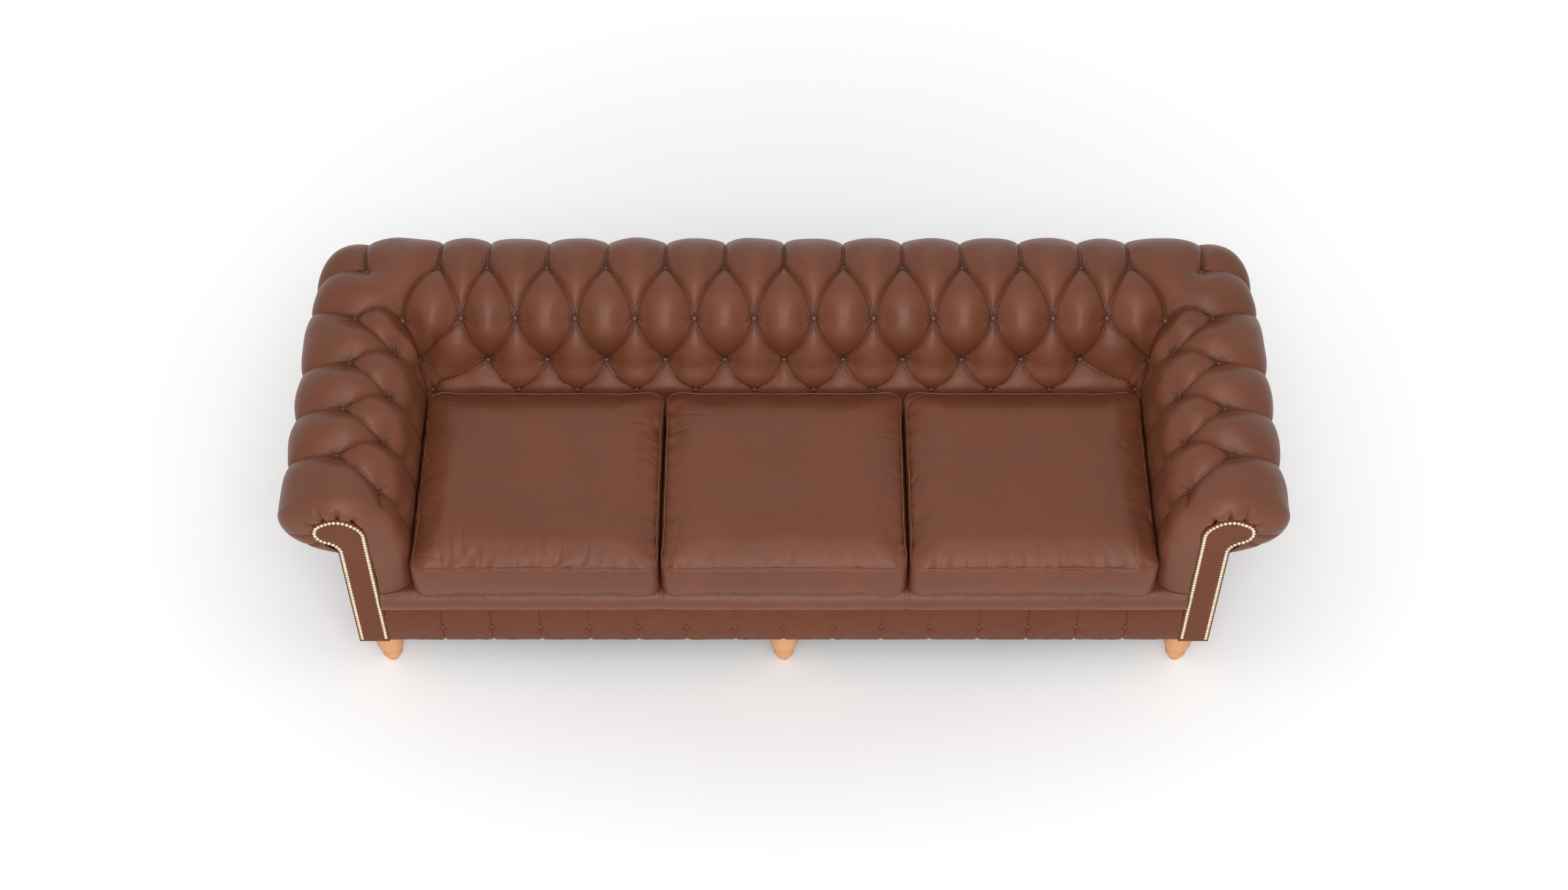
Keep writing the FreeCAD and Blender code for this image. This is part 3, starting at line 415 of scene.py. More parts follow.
def leather(name, tufted=False, stretch=(1, 1, 1), gloss=0.28):
    """Smooth brown leather: mottled, finely grained, softly creased, with painted
    shade darker in the folds, and paler on the tuft crowns, partly rub wear and
    partly a painted highlight."""
    colours = bpy.context.scene.sofa_colours
    n = Nodes(name)
    share = n.weigh(n.noise(5.5, Detail=4.0, Roughness=0.55), 0.75,
                    n.noise(38.0, Detail=3.0, Roughness=0.6), 0.25)
    tone = n.mix(n.remap(share, 0.36, 0.66), shade(colours.leather, 0.93),
                 shade(colours.leather, 1.07))
    grain = n.texture("ShaderNodeTexVoronoi", 620.0, Randomness=1.0)
    crease = n.noise(26.0, stretch, Detail=5.0, Roughness=0.62, Distortion=0.6)
    normal = n.bump(grain.outputs["Distance"], 0.00022, 0.55)
    normal = n.bump(n.noise(900.0, Detail=2.0), 0.00012, 0.5, normal)
    normal = n.bump(crease, 0.0016, 0.5, normal)
    if tufted:
        crown = n.attribute("crown").outputs["Fac"]
        # Painted shade: darker brown where the crown is low, down in the folds, pleats and gathers
        tone = n.mix(n.remap(crown, 0.02, 0.30, 0.85, 0.0), tone, shade(colours.leather_painted_shade))
        # Partly rub wear, partly painted highlight: paler brown on the fullest crowns
        tone = n.mix(n.remap(crown, 0.78, 1.02, 0.0, 0.28), tone, shade(colours.leather_wear_and_painted_highlight))
        tuck = n.add("ShaderNodeSeparateXYZ")
        n.link(n.attribute("tuck").outputs["Vector"], tuck.inputs[0])
        angle = n.math("ARCTAN2", tuck.outputs["X"], tuck.outputs["Y"])
        phase = n.weigh(angle, 9.0, n.noise(60.0, Detail=2.0), 9.0)
        fade = n.remap(tuck.outputs["Z"], 0.010, 0.036, 1.0, 0.0)
        normal = n.bump(n.math("MULTIPLY", n.math("SINE", phase), fade), 0.0011, 0.75, normal)
    return n.finish(Base_Color=tone, Roughness=n.remap(share, 0.3, 0.7, 0.36, 0.42),
                    Normal=normal, Specular_IOR_Level=gloss, Coat_Weight=0.36 * gloss,
                    Coat_Roughness=0.30)


def turned_wood():
    """Satin orange-brown wood with its grain along the foot."""
    colours = bpy.context.scene.sofa_colours
    n = Nodes("foot_wood")
    streak = n.noise(26.0, (5.0, 5.0, 0.7), Detail=6.0, Roughness=0.6)
    share = n.weigh(streak, 0.6, n.noise(9.0, (3.0, 3.0, 0.5), Detail=2.0), 0.4)
    tone = n.mix(n.remap(share, 0.35, 0.68), shade(colours.foot_wood, 0.80),
                 shade(colours.foot_wood, 1.12))
    return n.finish(Base_Color=tone, Roughness=n.remap(share, 0.3, 0.7, 0.34, 0.46),
                    Normal=n.bump(streak, 0.0004, 0.4), Coat_Weight=0.15, Coat_Roughness=0.25)


def brass():
    """Pale aged brass with small dents and dull patches."""
    colours = bpy.context.scene.sofa_colours
    n = Nodes("nail_brass")
    patch = n.noise(140.0, Detail=3.0)
    dent = n.texture("ShaderNodeTexVoronoi", 420.0).outputs["Distance"]
    tone = n.mix(n.remap(patch, 0.35, 0.7), shade(colours.brass), shade(colours.brass, 0.72))
    return n.finish(Base_Color=tone, Roughness=n.remap(patch, 0.3, 0.7, 0.28, 0.46),
                    Normal=n.bump(dent, 0.0005, 0.5), Metallic=0.85)


def timber():
    """Planed frame hardwood, unfinished."""
    n = Nodes("timber")
    grain = n.noise(14.0, (0.6, 6.0, 6.0), Detail=6.0)
    tone = n.mix(n.remap(grain, 0.35, 0.65), (0.47, 0.31, 0.17), (0.62, 0.45, 0.28))
    return n.finish(Base_Color=tone, Normal=n.bump(grain, 0.0005, 0.4), Roughness=0.6)


def steel():
    """Drawn and pressed steel with a faint scratch."""
    n = Nodes("steel")
    scratch = n.noise(220.0, (1.0, 0.1, 1.0), Detail=3.0)
    return n.finish(Base_Color=n.mix(scratch, (0.34, 0.34, 0.35), (0.50, 0.50, 0.51)),
                    Roughness=n.remap(scratch, 0.3, 0.7, 0.28, 0.42), Metallic=1.0)


def cloth(name, pale, dark, scale):
    """A plain weave from two crossed waves."""
    n = Nodes(name)
    warp = n.texture("ShaderNodeTexWave", scale, Distortion=0.4, Detail=1.0)
    weft = n.texture("ShaderNodeTexWave", scale, Distortion=0.4, Detail=1.0)
    weft.bands_direction = "Y"
    weave = n.math("MULTIPLY", warp.outputs["Fac"], weft.outputs["Fac"])
    return n.finish(Base_Color=n.mix(weave, dark, pale), Normal=n.bump(weave, 0.0005, 0.6),
                    Roughness=0.9)


# Buttoned leather of the arms and the back
FINE_ROWS = np.linspace(-1.4, 5.4, 681)
FINE = [np.convolve(np.interp(FINE_ROWS, np.arange(-1, 6), ROWS[:, column]),
                    np.ones(41) / 41, mode="same") for column in (3, 4, 5)]


def section(rows):
    """Columns of the base surface at an array of rows."""
    low = np.clip(np.floor(rows).astype(int) + 1, 0, len(ROWS) - 2)
    share = rows + 1 - low
    start, end = np.moveaxis(ROWS[low], -1, 0), np.moveaxis(ROWS[low + 1], -1, 0)
    at_start = 2 * share ** 3 - 3 * share ** 2 + 1
    leave = share ** 3 - 2 * share ** 2 + share
    arrive = share ** 3 - share ** 2
    out, up, crest = (np.interp(rows, FINE_ROWS, column) for column in FINE)
    size = np.hypot(out, up)

    def smooth(column, slope, sign, chord):
        return (at_start * start[column] + (1 - at_start) * end[column]
                + sign * chord * (leave * start[slope] + arrive * end[slope]))
    chords = [np.hypot(end[c] - start[c], end[2] - start[2]) for c in (0, 1)]
    return {"arm": smooth(0, 4, -1, chords[0]), "back": smooth(1, 4, -1, chords[1]),
            "z": smooth(2, 3, 1, chords[1]), "out": out / size,
            "up": up / size, "crest": crest,
            "turn": 1 / (1 / start[6] + (1 / end[6] - 1 / start[6]) * share)}


def place(along, cut, lift):
    """Points of the right half of the sofa: along an arm, round the corner and
    in along the back, lifted off the base surface."""
    arm = cut["arm"] + lift * cut["out"]
    back = cut["back"] + lift * cut["out"]
    z = cut["z"] + lift * cut["up"] + 0 * along
    angle = np.radians(90 * np.clip((along - ARM_RUN) / TURN_RUN, 0, 1))
    east, north = np.cos(angle), np.sin(angle)
    a = np.maximum(east, 1e-9) / (arm - CORNER_X)
    b = np.maximum(north, 1e-9) / (back - CORNER_Y)
    reach = (a ** cut["turn"] + b ** cut["turn"]) ** (-1 / cut["turn"])
    x = np.where(along > BACK_START, MIDDLE - along, CORNER_X + reach * east)
    y = np.where(along > BACK_START, back, CORNER_Y + reach * north)
    x = np.where(along < ARM_RUN, arm, x)
    y = np.where(along < ARM_RUN, FRONT + along, y)
    return stacked(x, y, z)


def spot(along, row, lift=0.0):
    """The point at one distance along and one row."""
    return place(np.array([along]), section(np.array([float(row)])), lift)[0]


def fold_lines():
    """Each fold: start, end, sideways bow, share of height kept, and reach."""
    sizes = bpy.context.scene.sofa_sizes
    full, roll = sizes.tuft_reach, sizes.roll_reach
    deep = (0.0, 0.14, 0.0)
    folds = []
    for odd in ARM_ODD + BACK_ODD:
        folds.append(((odd, -1), (odd, 1), 0, (0.25, 0.1, 0.0), roll))
    for pleat in CORNER_PLEATS:
        folds.append(((pleat, -1), (pleat, 0), 0, (0.25, 0.2, 0.12), roll))
        folds.append(((pleat, 0), (MITRE, 1), 0, (0.12, 0.05, 0.0), roll))
    arm_even = ARM_EVEN + [MITRE]
    for odd, near, far in zip(ARM_ODD, arm_even, arm_even[1:]):
        for even in (near, far):
            folds.append(((odd, 1), (even, 2), 0.10 * (even - odd), deep, full))
    for even in ARM_EVEN:
        folds.append(((even, 2), (even, 2.75), 0, (0.0, 0.22, 0.4), 0.052))
        folds.append(((even, 2.75), (even, 5), 0, (0.4, 0.45, 0.5), 0.044))
    folds.append(((ARM_EVEN[0], 2), (0.02, 1.95), 0, (0.0, 0.5, 0.85), 0.035))
    evens = [MITRE] + BACK_EVEN
    for number, odd in enumerate(BACK_ODD):
        for even in evens[number:number + 2]:
            sway = 0.03 if even == MITRE else 0.16
            folds.append(((odd, 1), (even, 2), sway * (even - odd), deep, full))
    lower_odd, lower_even = [MITRE] + BACK_ODD[1:], [MITRE] + BACK_EVEN[1:]
    for number, odd in enumerate(lower_odd):
        for even in evens[number:number + 2]:
            if even != odd:
                folds.append(((odd, 3), (even, 2), 0.16 * (even - odd), deep, full))
    for number, odd in enumerate(lower_odd):
        for even in lower_even[max(number - 1, 0):number + 1]:
            if even != odd:
                folds.append(((odd, 3), (even, 4), -0.16 * (even - odd), deep, 0.048))
    for even in BACK_EVEN[1:]:
        folds.append(((even, 4), (even, 5), 0, (0.0, 0.2, 0.4), 0.030))
    for low, high in ((2, 3), (3, 4), (4, 5)):
        folds.append(((MITRE, low), (MITRE, high), 0, (0.0, 0.25, 0.0), 0.042))
    return folds


def button_spots():
    """Every button of the right half, as distance along, row and standing off."""
    arm = [(odd, 1, SUNK) for odd in ARM_ODD] + [(even, 2, SUNK) for even in ARM_EVEN]
    back = [(odd, 1, SUNK) for odd in BACK_ODD] + [(odd, 3, PROUD) for odd in BACK_ODD[1:]]
    back += [(even, 2, PROUD) for even in BACK_EVEN]
    back += [(even, 4, LOWEST) for even in BACK_EVEN[1:]]
    back += [(MITRE, row, IN_MITRE) for row in (1, 2, 3, 4)]
    return arm, back


def nearest_on(points, line):
    """The distance of points from a line of runs, and the share along it."""
    best = np.full(points.shape[:-1], FAR)
    share = np.zeros(points.shape[:-1])
    for index, (a, b) in enumerate(zip(line, line[1:])):
        run = b - a
        t = np.clip((points - a) @ run / (run @ run), 0, 1)
        away = np.linalg.norm(points - a - t[..., None] * run, axis=-1)
        closer = away < best
        best = np.where(closer, away, best)
        share = np.where(closer, (index + t) / (len(line) - 1), share)
    return best, share


def tuft_field(along, rows):
    """How full the leather is at each point, 0 in a fold and 1 on a tuft, and
    how near the nearest fold is."""
    cut = section(rows[:, None])
    base = place(along[None, :], cut, 0.3 * cut["crest"])
    rise = np.ones(base.shape[:2])
    crack = np.full(base.shape[:2], FAR)
    t = np.linspace(0, 1, 15)
    for (a0, r0), (a1, r1), bow, kept, reach in fold_lines():
        path = a0 + (a1 - a0) * t + bow * np.sin(math.pi * t)
        path_rows = np.clip(r0 + (r1 - r0) * t, -1, 4.999)
        path_cut = section(path_rows)
        line = place(path, path_cut, 0.3 * path_cut["crest"])
        near = np.abs(along - np.clip(along, path.min(), path.max())) < 2.5 * reach
        if not near.any():
            continue
        away, share = nearest_on(base[:, near], line)
        keep = np.interp(share, (0, 0.5, 1), kept)
        q = np.clip(away / reach, 0, 1)
        rise[:, near] *= keep + (1 - keep) * (1 - (1 - q) ** 2) ** 0.62
        crack[:, near] = np.minimum(crack[:, near], away + 0.02 * keep)
    return rise, crack


def nearest_button(points, spots):
    """Each point's place beside its nearest button: across, along and distance."""
    best = np.full(points.shape[:-1], FAR)
    tuck = np.full(points.shape, FAR)
    for along, row, _ in spots:
        centre = spot(along, row)
        ahead = spot(along + 0.002, row) - centre
        ahead /= np.linalg.norm(ahead)
        offset = points - centre
        away = np.linalg.norm(offset, axis=-1)
        closer = away < best
        best = np.where(closer, away, best)
        side = offset @ ahead
        rest = np.sqrt(np.maximum(away ** 2 - side ** 2, 0)) * np.sign(offset[..., 2] + 1e-9)
        tuck = np.where(closer[..., None], stacked(side, rest, away), tuck)
    return tuck


def tangential(points, rise):
    """Pushes the flanks of each tuft out over its folds."""
    pull = np.zeros_like(points)
    for axis in (1, 0):
        run = np.gradient(points, axis=axis)
        size = np.linalg.norm(run, axis=-1)
        slope = np.gradient(rise, axis=axis) / np.maximum(size, 1e-4)
        pull += run / np.maximum(size, 1e-6)[..., None] * slope[..., None]
    size = np.maximum(np.linalg.norm(pull, axis=-1), 1e-6)
    amount = 0.0042 * 4 * rise * (1 - rise) * np.minimum(size / 20, 1)
    return -pull / size[..., None] * amount[..., None]


def cap_points(rows, turns, cut):
    """The front end of an arm, rounding in from its outline to the facing."""
    depth = bpy.context.scene.sofa_sizes.cap_depth
    edge_x = np.interp(rows, SCROLL[:, 0], SCROLL[:, 1])[:, None]
    edge_z = np.interp(rows, SCROLL[:, 0], SCROLL[:, 2])[:, None]
    outer_x = cut["arm"] + cut["crest"] * cut["out"]
    outer_z = cut["z"] + cut["crest"] * cut["up"]
    share = (1 - np.cos(turns)) ** 0.92
    x = outer_x + (edge_x - outer_x) * share
    z = outer_z + (edge_z - outer_z) * share
    y = FRONT + 0.003 + depth * (1 - np.sin(turns) ** 0.9) + 0 * x
    span = np.hypot(edge_x - outer_x, edge_z - outer_z)
    groove = np.zeros_like(x)
    for number, row in enumerate(GATHERS):
        width = 0.038 + 0.010 * (number % 3)
        reach = np.clip((share - 0.10 - 0.16 * (number % 3)) / 0.45, 0, 1)
        groove += reach * np.exp(-((rows[:, None] - row - 0.05 * (1 - share)) / width) ** 2)
    puff = 0.005 * np.sin(np.pi * share) * np.clip((2.1 - rows[:, None]) / 0.5, 0, 1)
    inward = np.clip(0.0080 * groove, 0, 0.0085)
    y = y + inward - puff * np.clip(span / 0.06, 0, 1)
    # The second value is a crown that is low in the gathers, where the tufted leather gets painted
    # shade
    return stacked(x, y, z), 1 - 0.85 * np.clip(groove, 0, 1)


def hide_points(along, rows, capped):
    """The leather on one half, outside and inside, with what its material reads."""
    sizes = bpy.context.scene.sofa_sizes
    cut = section(rows[:, None])
    rise, crack = tuft_field(along, rows)
    lift = cut["crest"] * rise - sizes.fold_depth * np.exp(-(crack / 0.004) ** 2)
    points = place(along[None, :], cut, lift)
    points += tangential(points, rise)
    if capped:
        turns = np.linspace(math.pi / 2, 0, 24)[None, :-1]
        cap, cap_rise = cap_points(rows, turns, cut)
        blend = np.clip((along - sizes.cap_depth) / 0.03, 0, 1)[None, :]
        rise = 1 + (rise - 1) * blend
        plain = place(along[None, :], cut, cut["crest"] + 0 * along[None, :])
        points = plain + (points - plain) * blend[..., None]
        points = np.concatenate([cap, points], axis=1)
        rise = np.concatenate([cap_rise, rise], axis=1)
    tuck = nearest_button(points, sum(button_spots(), []))
    inner_rows = np.array([4.9, 3.6, 3.0, 2.5, 2.0, 1.5, 1.0, 0.5, 0.0, -0.5, -0.9])
    inner = place(along[None, :], section(inner_rows[:, None]), -INSIDE)
    if capped:
        first = np.repeat(inner[:, :1], cap.shape[1], axis=1)
        first[..., 1] = np.maximum(cap[:1, :, 1], FRONT + 0.021)
        inner = np.concatenate([first, inner], axis=1)
    return (np.concatenate([points, inner], axis=0),
            np.concatenate([rise, np.zeros(inner.shape[:2])], axis=0),
            np.concatenate([tuck, np.full(inner.shape, FAR)], axis=0))


def hide_mesh(name, points, rise, tuck):
    """Closes the leather into a shell and gives it small uneven swells."""
    flat = points.reshape(-1, 3).copy()
    full = rise.reshape(-1)
    for axis, size, scale, seed in ((2, 0.0018, 0.16, HIDE_SEED), (0, 0.0016, 0.13, HIDE_SEED + 1),
                                    (1, 0.0016, 0.13, HIDE_SEED + 2)):
        flat[:, axis] += size * ripple(flat, scale, seed) * full
    mesh = grid(name, flat.reshape(points.shape), closed=True)
    # The crown drives painted shade in the folds and the partly painted highlight on the fullest
    # tufts; the inner side, at 0, takes the painted shade
    store(mesh, "crown", "FLOAT", full)
    store(mesh, "tuck", "FLOAT_VECTOR", tuck)
    return outward(mesh)


def leather_rows():
    step = bpy.context.scene.sofa_sizes.tuft_pitch
    rows = []
    for low, (a, b) in enumerate(zip(ROWS[:-1], ROWS[1:]), -1):
        count = max(6, round(1.12 * math.hypot(b[1] - a[1], b[2] - a[2]) / step))
        rows += list(low + np.arange(count) / count)
    return np.array(rows + [4.9999])


def mirrored(points):
    return points * np.array([-1.0, 1.0, 1.0])


def buttons(name, spots, sides, node):
    """Covered buttons, each a low dome set down among the folds."""
    radius = bpy.context.scene.sofa_sizes.button_radius
    bm = bmesh.new()
    for along, row, rest in spots:
        low, high = spot(along, row), spot(along, row, 0.01)
        for side in sides:
            if side < 0 and abs(low[0]) < 1e-6:
                continue
            seat = Vector(low * (side, 1, 1))
            normal = (Vector(high * (side, 1, 1)) - seat).normalized()
            made = bmesh.ops.create_uvsphere(bm, u_segments=20, v_segments=12, radius=radius)
            turn = normal.to_track_quat("Z", "Y").to_matrix().to_4x4()
            bmesh.ops.scale(bm, verts=made["verts"], vec=(1, 1, 0.62))
            bmesh.ops.transform(bm, verts=made["verts"], matrix=turn)
            bmesh.ops.translate(bm, verts=made["verts"], vec=seat + normal * rest)
    make_object(name, mesh_of(bm, name), "button_leather", node)


class SOFA_OT_materials(bpy.types.Operator):
    """Makes the finishes and gives them to the parts of the frame that stay"""
    bl_idname = "sofa.materials"
    bl_label = "Finishes"

    def execute(self, context):
        leather("sofa_leather")
        leather("tufted_leather", tufted=True, gloss=0.21)
        leather("cushion_leather", stretch=(1.0, 0.55, 1.0), gloss=0.22)
        leather("button_leather")
        leather("flat_leather", gloss=0.08)
        leather("border_leather", tufted=True, gloss=0.08)
        finishes = {
            "leather": bpy.data.materials["sofa_leather"], "foot_wood": turned_wood(),
            "nail_brass": brass(), "timber": timber(), "steel": steel(),
            "foam": cloth("foam", (0.86, 0.80, 0.62), (0.74, 0.68, 0.50), 300.0),
            "hessian": cloth("hessian", (0.50, 0.38, 0.23), (0.22, 0.16, 0.09), 420.0),
            "black_cloth": cloth("black_cloth", (0.035, 0.035, 0.038), (0.008, 0.008, 0.009),
                                 600.0),
        }
        for part in frame["record"]["subparts"]:
            mesh = frame["nodes"][part["node"]].data
            mesh.materials.clear()
            mesh.materials.append(finishes[part["material_slot"]])
        return {"FINISHED"}


def seen_directly(tree):
    """1 for camera, glossy and transmission rays, 0 for the light on the object."""
    path = tree.nodes.new("ShaderNodeLightPath")
    seen = path.outputs["Is Camera Ray"]
    for kind in ("Is Glossy Ray", "Is Transmission Ray"):
        either = tree.nodes.new("ShaderNodeMath")
        either.operation = "MAXIMUM"
        tree.links.new(seen, either.inputs[0])
        tree.links.new(path.outputs[kind], either.inputs[1])
        seen = either.outputs[0]
    return seen


class SOFA_OT_stage(bpy.types.Operator):
    """Sets the pale floor, the soft lamps and the camera"""
    bl_idname = "sofa.stage"
    bl_label = "Studio"

    def execute(self, context):
        scene = context.scene
        scene.view_settings.view_transform = "Standard"
        colours = scene.sofa_colours
        bm = bmesh.new()
        bmesh.ops.create_grid(bm, x_segments=8, y_segments=8, size=FLOOR_HALF)
        floor = linked("studio_floor", mesh_of(bm, "studio_floor"))
        n = Nodes("studio_floor")
        away = n.add("ShaderNodeVectorMath", operation="LENGTH")
        n.link(n.object, away.inputs[0])
        # Glow from floor_glow next to the sofa up to FAR_GLOW far off: painted shade on the floor
        # round the sofa, a white floor far away
        glow = n.remap(away.outputs["Value"], GLOW_NEAR, GLOW_FAR, colours.floor_glow, FAR_GLOW)
        tone = n.mix(n.noise(1.5, Detail=2.0), shade(colours.floor, 0.99), shade(colours.floor))
        floor.data.materials.append(n.finish(
            Base_Color=tone, Emission_Strength=n.math("MULTIPLY", seen_directly(n.tree), glow),
            Emission_Color=(1, 1, 1, 1), Roughness=0.95, Specular_IOR_Level=0.0))

        world = scene.world or bpy.data.worlds.new("studio")
        scene.world = world
        world.use_nodes = True
        tree = world.node_tree
        background = tree.nodes["Background"]
        background.inputs["Color"].default_value = (1, 1, 1, 1)
        level = tree.nodes.new("ShaderNodeMapRange")
        level.inputs["To Min"].default_value = WORLD_LEVEL
        tree.links.new(seen_directly(tree), level.inputs["Value"])
        tree.links.new(level.outputs["Result"], background.inputs["Strength"])
        for name, at, aim, width, depth, watts in LAMPS:
            data = bpy.data.lights.new(name, "AREA")
            data.shape = "RECTANGLE"
            data.size, data.size_y = width, depth
            data.energy = watts
            data.use_shadow = name != "lamp_fill"
            lamp = linked(name, data)
            lamp.location = at
            way = Vector(aim) - Vector(at)
            lamp.rotation_euler = way.to_track_quat("-Z", "Y").to_euler()

        data = bpy.data.cameras.new("camera")
        data.lens, data.sensor_width = LENS, SENSOR
        scene.camera = linked("camera", data)
        scene.camera.location = CAMERA_AT
        scene.camera.rotation_euler = (math.radians(CAMERA_TILT), 0, 0)
        return {"FINISHED"}


class SOFA_OT_arms(bpy.types.Operator):
    """Builds the buttoned leather of the two arms and its buttons"""
    bl_idname = "sofa.arms"
    bl_label = "Buttoned arms"

    def execute(self, context):
        sizes = context.scene.sofa_sizes
        along = np.concatenate([np.arange(sizes.cap_depth, ARM_RUN, sizes.tuft_pitch),
                                np.linspace(ARM_RUN, MITRE, 62)])
        points, rise, tuck = hide_points(along, leather_rows(), capped=True)
        for name, side in SIDES:
            half = points if side > 0 else mirrored(points)
            mesh = hide_mesh(f"arm_hide_{name}", half, rise, tuck)
            piece = make_object(f"arm_hide_{name}", mesh, "tufted_leather",
                                f"arm_leather_{name}", f"arm_padding_{name}")
            buttons(f"arm_studs_{name}", button_spots()[0], (side,), f"arm_buttons_{name}")
        return {"FINISHED"}


class SOFA_OT_back(bpy.types.Operator):
    """Builds the buttoned leather of the back and its buttons"""
    bl_idname = "sofa.back"
    bl_label = "Buttoned back"

    def execute(self, context):
        count = round(CORNER_X / context.scene.sofa_sizes.tuft_pitch)
        along = np.concatenate([np.linspace(MITRE, BACK_START, 52)[:-1],
                                np.linspace(BACK_START, MIDDLE, count)])
        points, rise, tuck = hide_points(along, leather_rows(), capped=False)
        points[:, -1, 0] = 0.0
        points = np.concatenate([points, mirrored(points)[:, -2::-1]], axis=1)
        rise = np.concatenate([rise, rise[:, -2::-1]], axis=1)
        tuck = np.concatenate([tuck, tuck[:, -2::-1]], axis=1)
        mesh = hide_mesh("back_hide", points, rise, tuck)
        piece = make_object("back_hide", mesh, "tufted_leather", "back_leather", "back_padding")
        buttons("back_studs", button_spots()[1], (-1, 1), "back_buttons")
        return {"FINISHED"}


class SOFA_OT_front(bpy.types.Operator):
    """Builds the padded lip roll and the pleated border under it"""
    bl_idname = "sofa.front"
    bl_label = "Lip roll and border"

    def execute(self, context):
        self.lip()
        self.border()
        return {"FINISHED"}

    def lip(self):
        """A firm roll on the front rail, pulled in at the two seams."""
        x = np.linspace(-FACING_INNER, FACING_INNER, 520)
        middle = (BORDER_HIGH.z + LIP_HIGH.z) / 2
        half = (LIP_HIGH.z - BORDER_HIGH.z) / 2
        turn = np.radians(np.linspace(-90, 90, 30))
        y = BACKING - (BACKING - LIP_LOW.y) * np.cos(turn) ** 0.9
        z = middle + half * np.sin(turn) * (0.94 + 0.06 * np.sin(turn) ** 2)
        top_y = np.linspace(BACKING, LIP_HIGH.y, 12)[1:]
        rear_z = np.linspace(LIP_HIGH.z, BORDER_HIGH.z, 8)[1:-1]
        y = np.concatenate([y, top_y, np.full(len(rear_z), LIP_HIGH.y)])
        z = np.concatenate([z, np.full(len(top_y), LIP_HIGH.z), rear_z])
        points = stacked(x[None], y[:, None], z[:, None])
        seam = sum(np.exp(-(np.abs(x - seam_x) / 0.0035) ** 1.5) for seam_x in LIP_SEAMS)
        near_seam = sum(np.exp(-((x - seam_x) / 0.03) ** 2) for seam_x in LIP_SEAMS)
        inward = points - np.array([0, BACKING + 0.012, middle])
        inward[..., 0] = 0
        points -= inward * (0.055 * seam + 0.02 * near_seam)[None, :, None]
        flat = points.reshape(-1, 3)
        swell = 0.0009 * ripple(flat, 0.11, 5) + 0.0004 * ripple(flat, 0.02, 6)
        front_side = np.clip((BACKING + 0.01 - flat[:, 1]) / 0.02, 0, 1)
        flat[:, 1] -= (swell - 0.0008) * front_side
        flat[:, 2] += (swell - 0.0012) * np.clip((flat[:, 2] - middle) / 0.02, 0, 1)
        piece = make_object("lip_hide", shell("lip_hide", points), "sofa_leather", "lip_roll")

    def border(self):
        """A flat padded panel, drawn in along its pleats and at its buttons."""
        x = np.linspace(-FACING_INNER, FACING_INNER, 700)
        low, high = BORDER_LOW.z, BORDER_HIGH.z
        z = np.concatenate([np.linspace(low, high, 40), np.linspace(high, low, 5)[1:-1]])
        outside = np.arange(len(z)) < 40
        pleats = [number * BORDER_PITCH for number in range(-7, 8)]
        away = np.min([np.abs(x - place_x) for place_x in pleats], axis=0)[None, :]
        level = z[:, None] - BUTTON_LEVEL
        full = (1 - (1 - np.clip(away / 0.011, 0, 1)) ** 2) ** 0.8
        crack = np.exp(-(away / 0.0015) ** 2)
        dimple = np.exp(-(np.hypot(away, level) / 0.0125) ** 1.4)
        y = FRONT + 0.0018 * (1 - full) + 0.0030 * crack + 0.0060 * dimple
        share = np.clip((z[:, None] - low) / (high - low), 0, 1)
        drop = np.where(share > 0.5, 0.0125, 0.0065)
        y = y + drop * (1 - np.sin(np.pi * np.clip(share, 0.01, 0.99)) ** 0.7)
        y = np.where(outside[:, None], y, BACKING)
        points = stacked(x[None], y, z[:, None])
        points[..., 2] += 0.002 * np.exp(-(away / 0.005) ** 2) * (share < 0.02)
        flat = points.reshape(-1, 3)
        wave = 0.0006 * ripple(flat, 0.05, 8) + 0.0004 * ripple(flat * (1, 1, 0.4), 0.014, 9)
        flat[:, 1] += wave * np.repeat(outside, len(x))
        mesh = grid("border_hide", points, closed=True)
        # The crown is low only in the pleat cracks, where the border leather gets painted shade;
        # nowhere is it full enough for the painted highlight
        store(mesh, "crown", "FLOAT", np.broadcast_to(0.6 * (1 - crack), points.shape[:2]))
        store(mesh, "tuck", "FLOAT_VECTOR", stacked(
            x - np.round(x / BORDER_PITCH) * BORDER_PITCH, level, 1.6 * np.hypot(away, level)))
        make_object("border_hide", outward(mesh), "border_leather", "front_border")
        bm = bmesh.new()
        for pleat in pleats:
            made = bmesh.ops.create_uvsphere(bm, u_segments=20, v_segments=12, radius=0.0060)
            bmesh.ops.scale(bm, verts=made["verts"], vec=(1, 0.5, 1))
            bmesh.ops.translate(bm, verts=made["verts"],
                                vec=(pleat, FRONT + 0.0066, BUTTON_LEVEL))
        make_object("border_studs", mesh_of(bm, "border_studs"), "button_leather",
                    "border_buttons")


class SOFA_OT_facings(bpy.types.Operator):
    """Wraps the facing boards of the arms in leather"""
    bl_idname = "sofa.facings"
    bl_label = "Arm facings"

    def execute(self, context):
        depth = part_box("facing_board_right")[1].y
        for name, _ in SIDES:
            bm = bmesh.new()
            bm.from_mesh(frame["nodes"][f"facing_leather_{name}"].data)
            bmesh.ops.remove_doubles(bm, verts=bm.verts, dist=1e-5)
            bmesh.ops.dissolve_limit(bm, angle_limit=math.radians(0.5), verts=bm.verts,
                                     edges=bm.edges)
            for vert in bm.verts:
                if vert.co.y > FRONT + 0.0005:
                    vert.co.y = depth
            face = min(bm.faces, key=lambda f: f.calc_center_median().y)
            rounded(bm, list(face.edges), 0.0026, 3)
            face = max((f for f in bm.faces if f.normal.y < -0.99), key=lambda f: f.calc_area())
            for width, rise in ((0.0105, 0.0), (0.003, 0.0011), (0.005, 0.0007)):
                bmesh.ops.inset_region(bm, faces=[face], thickness=width, depth=rise)
            make_object(f"facing_hide_{name}", mesh_of(bm, f"facing_hide_{name}", smooth=False),
                        "flat_leather", f"facing_leather_{name}", f"facing_board_{name}")
        return {"FINISHED"}


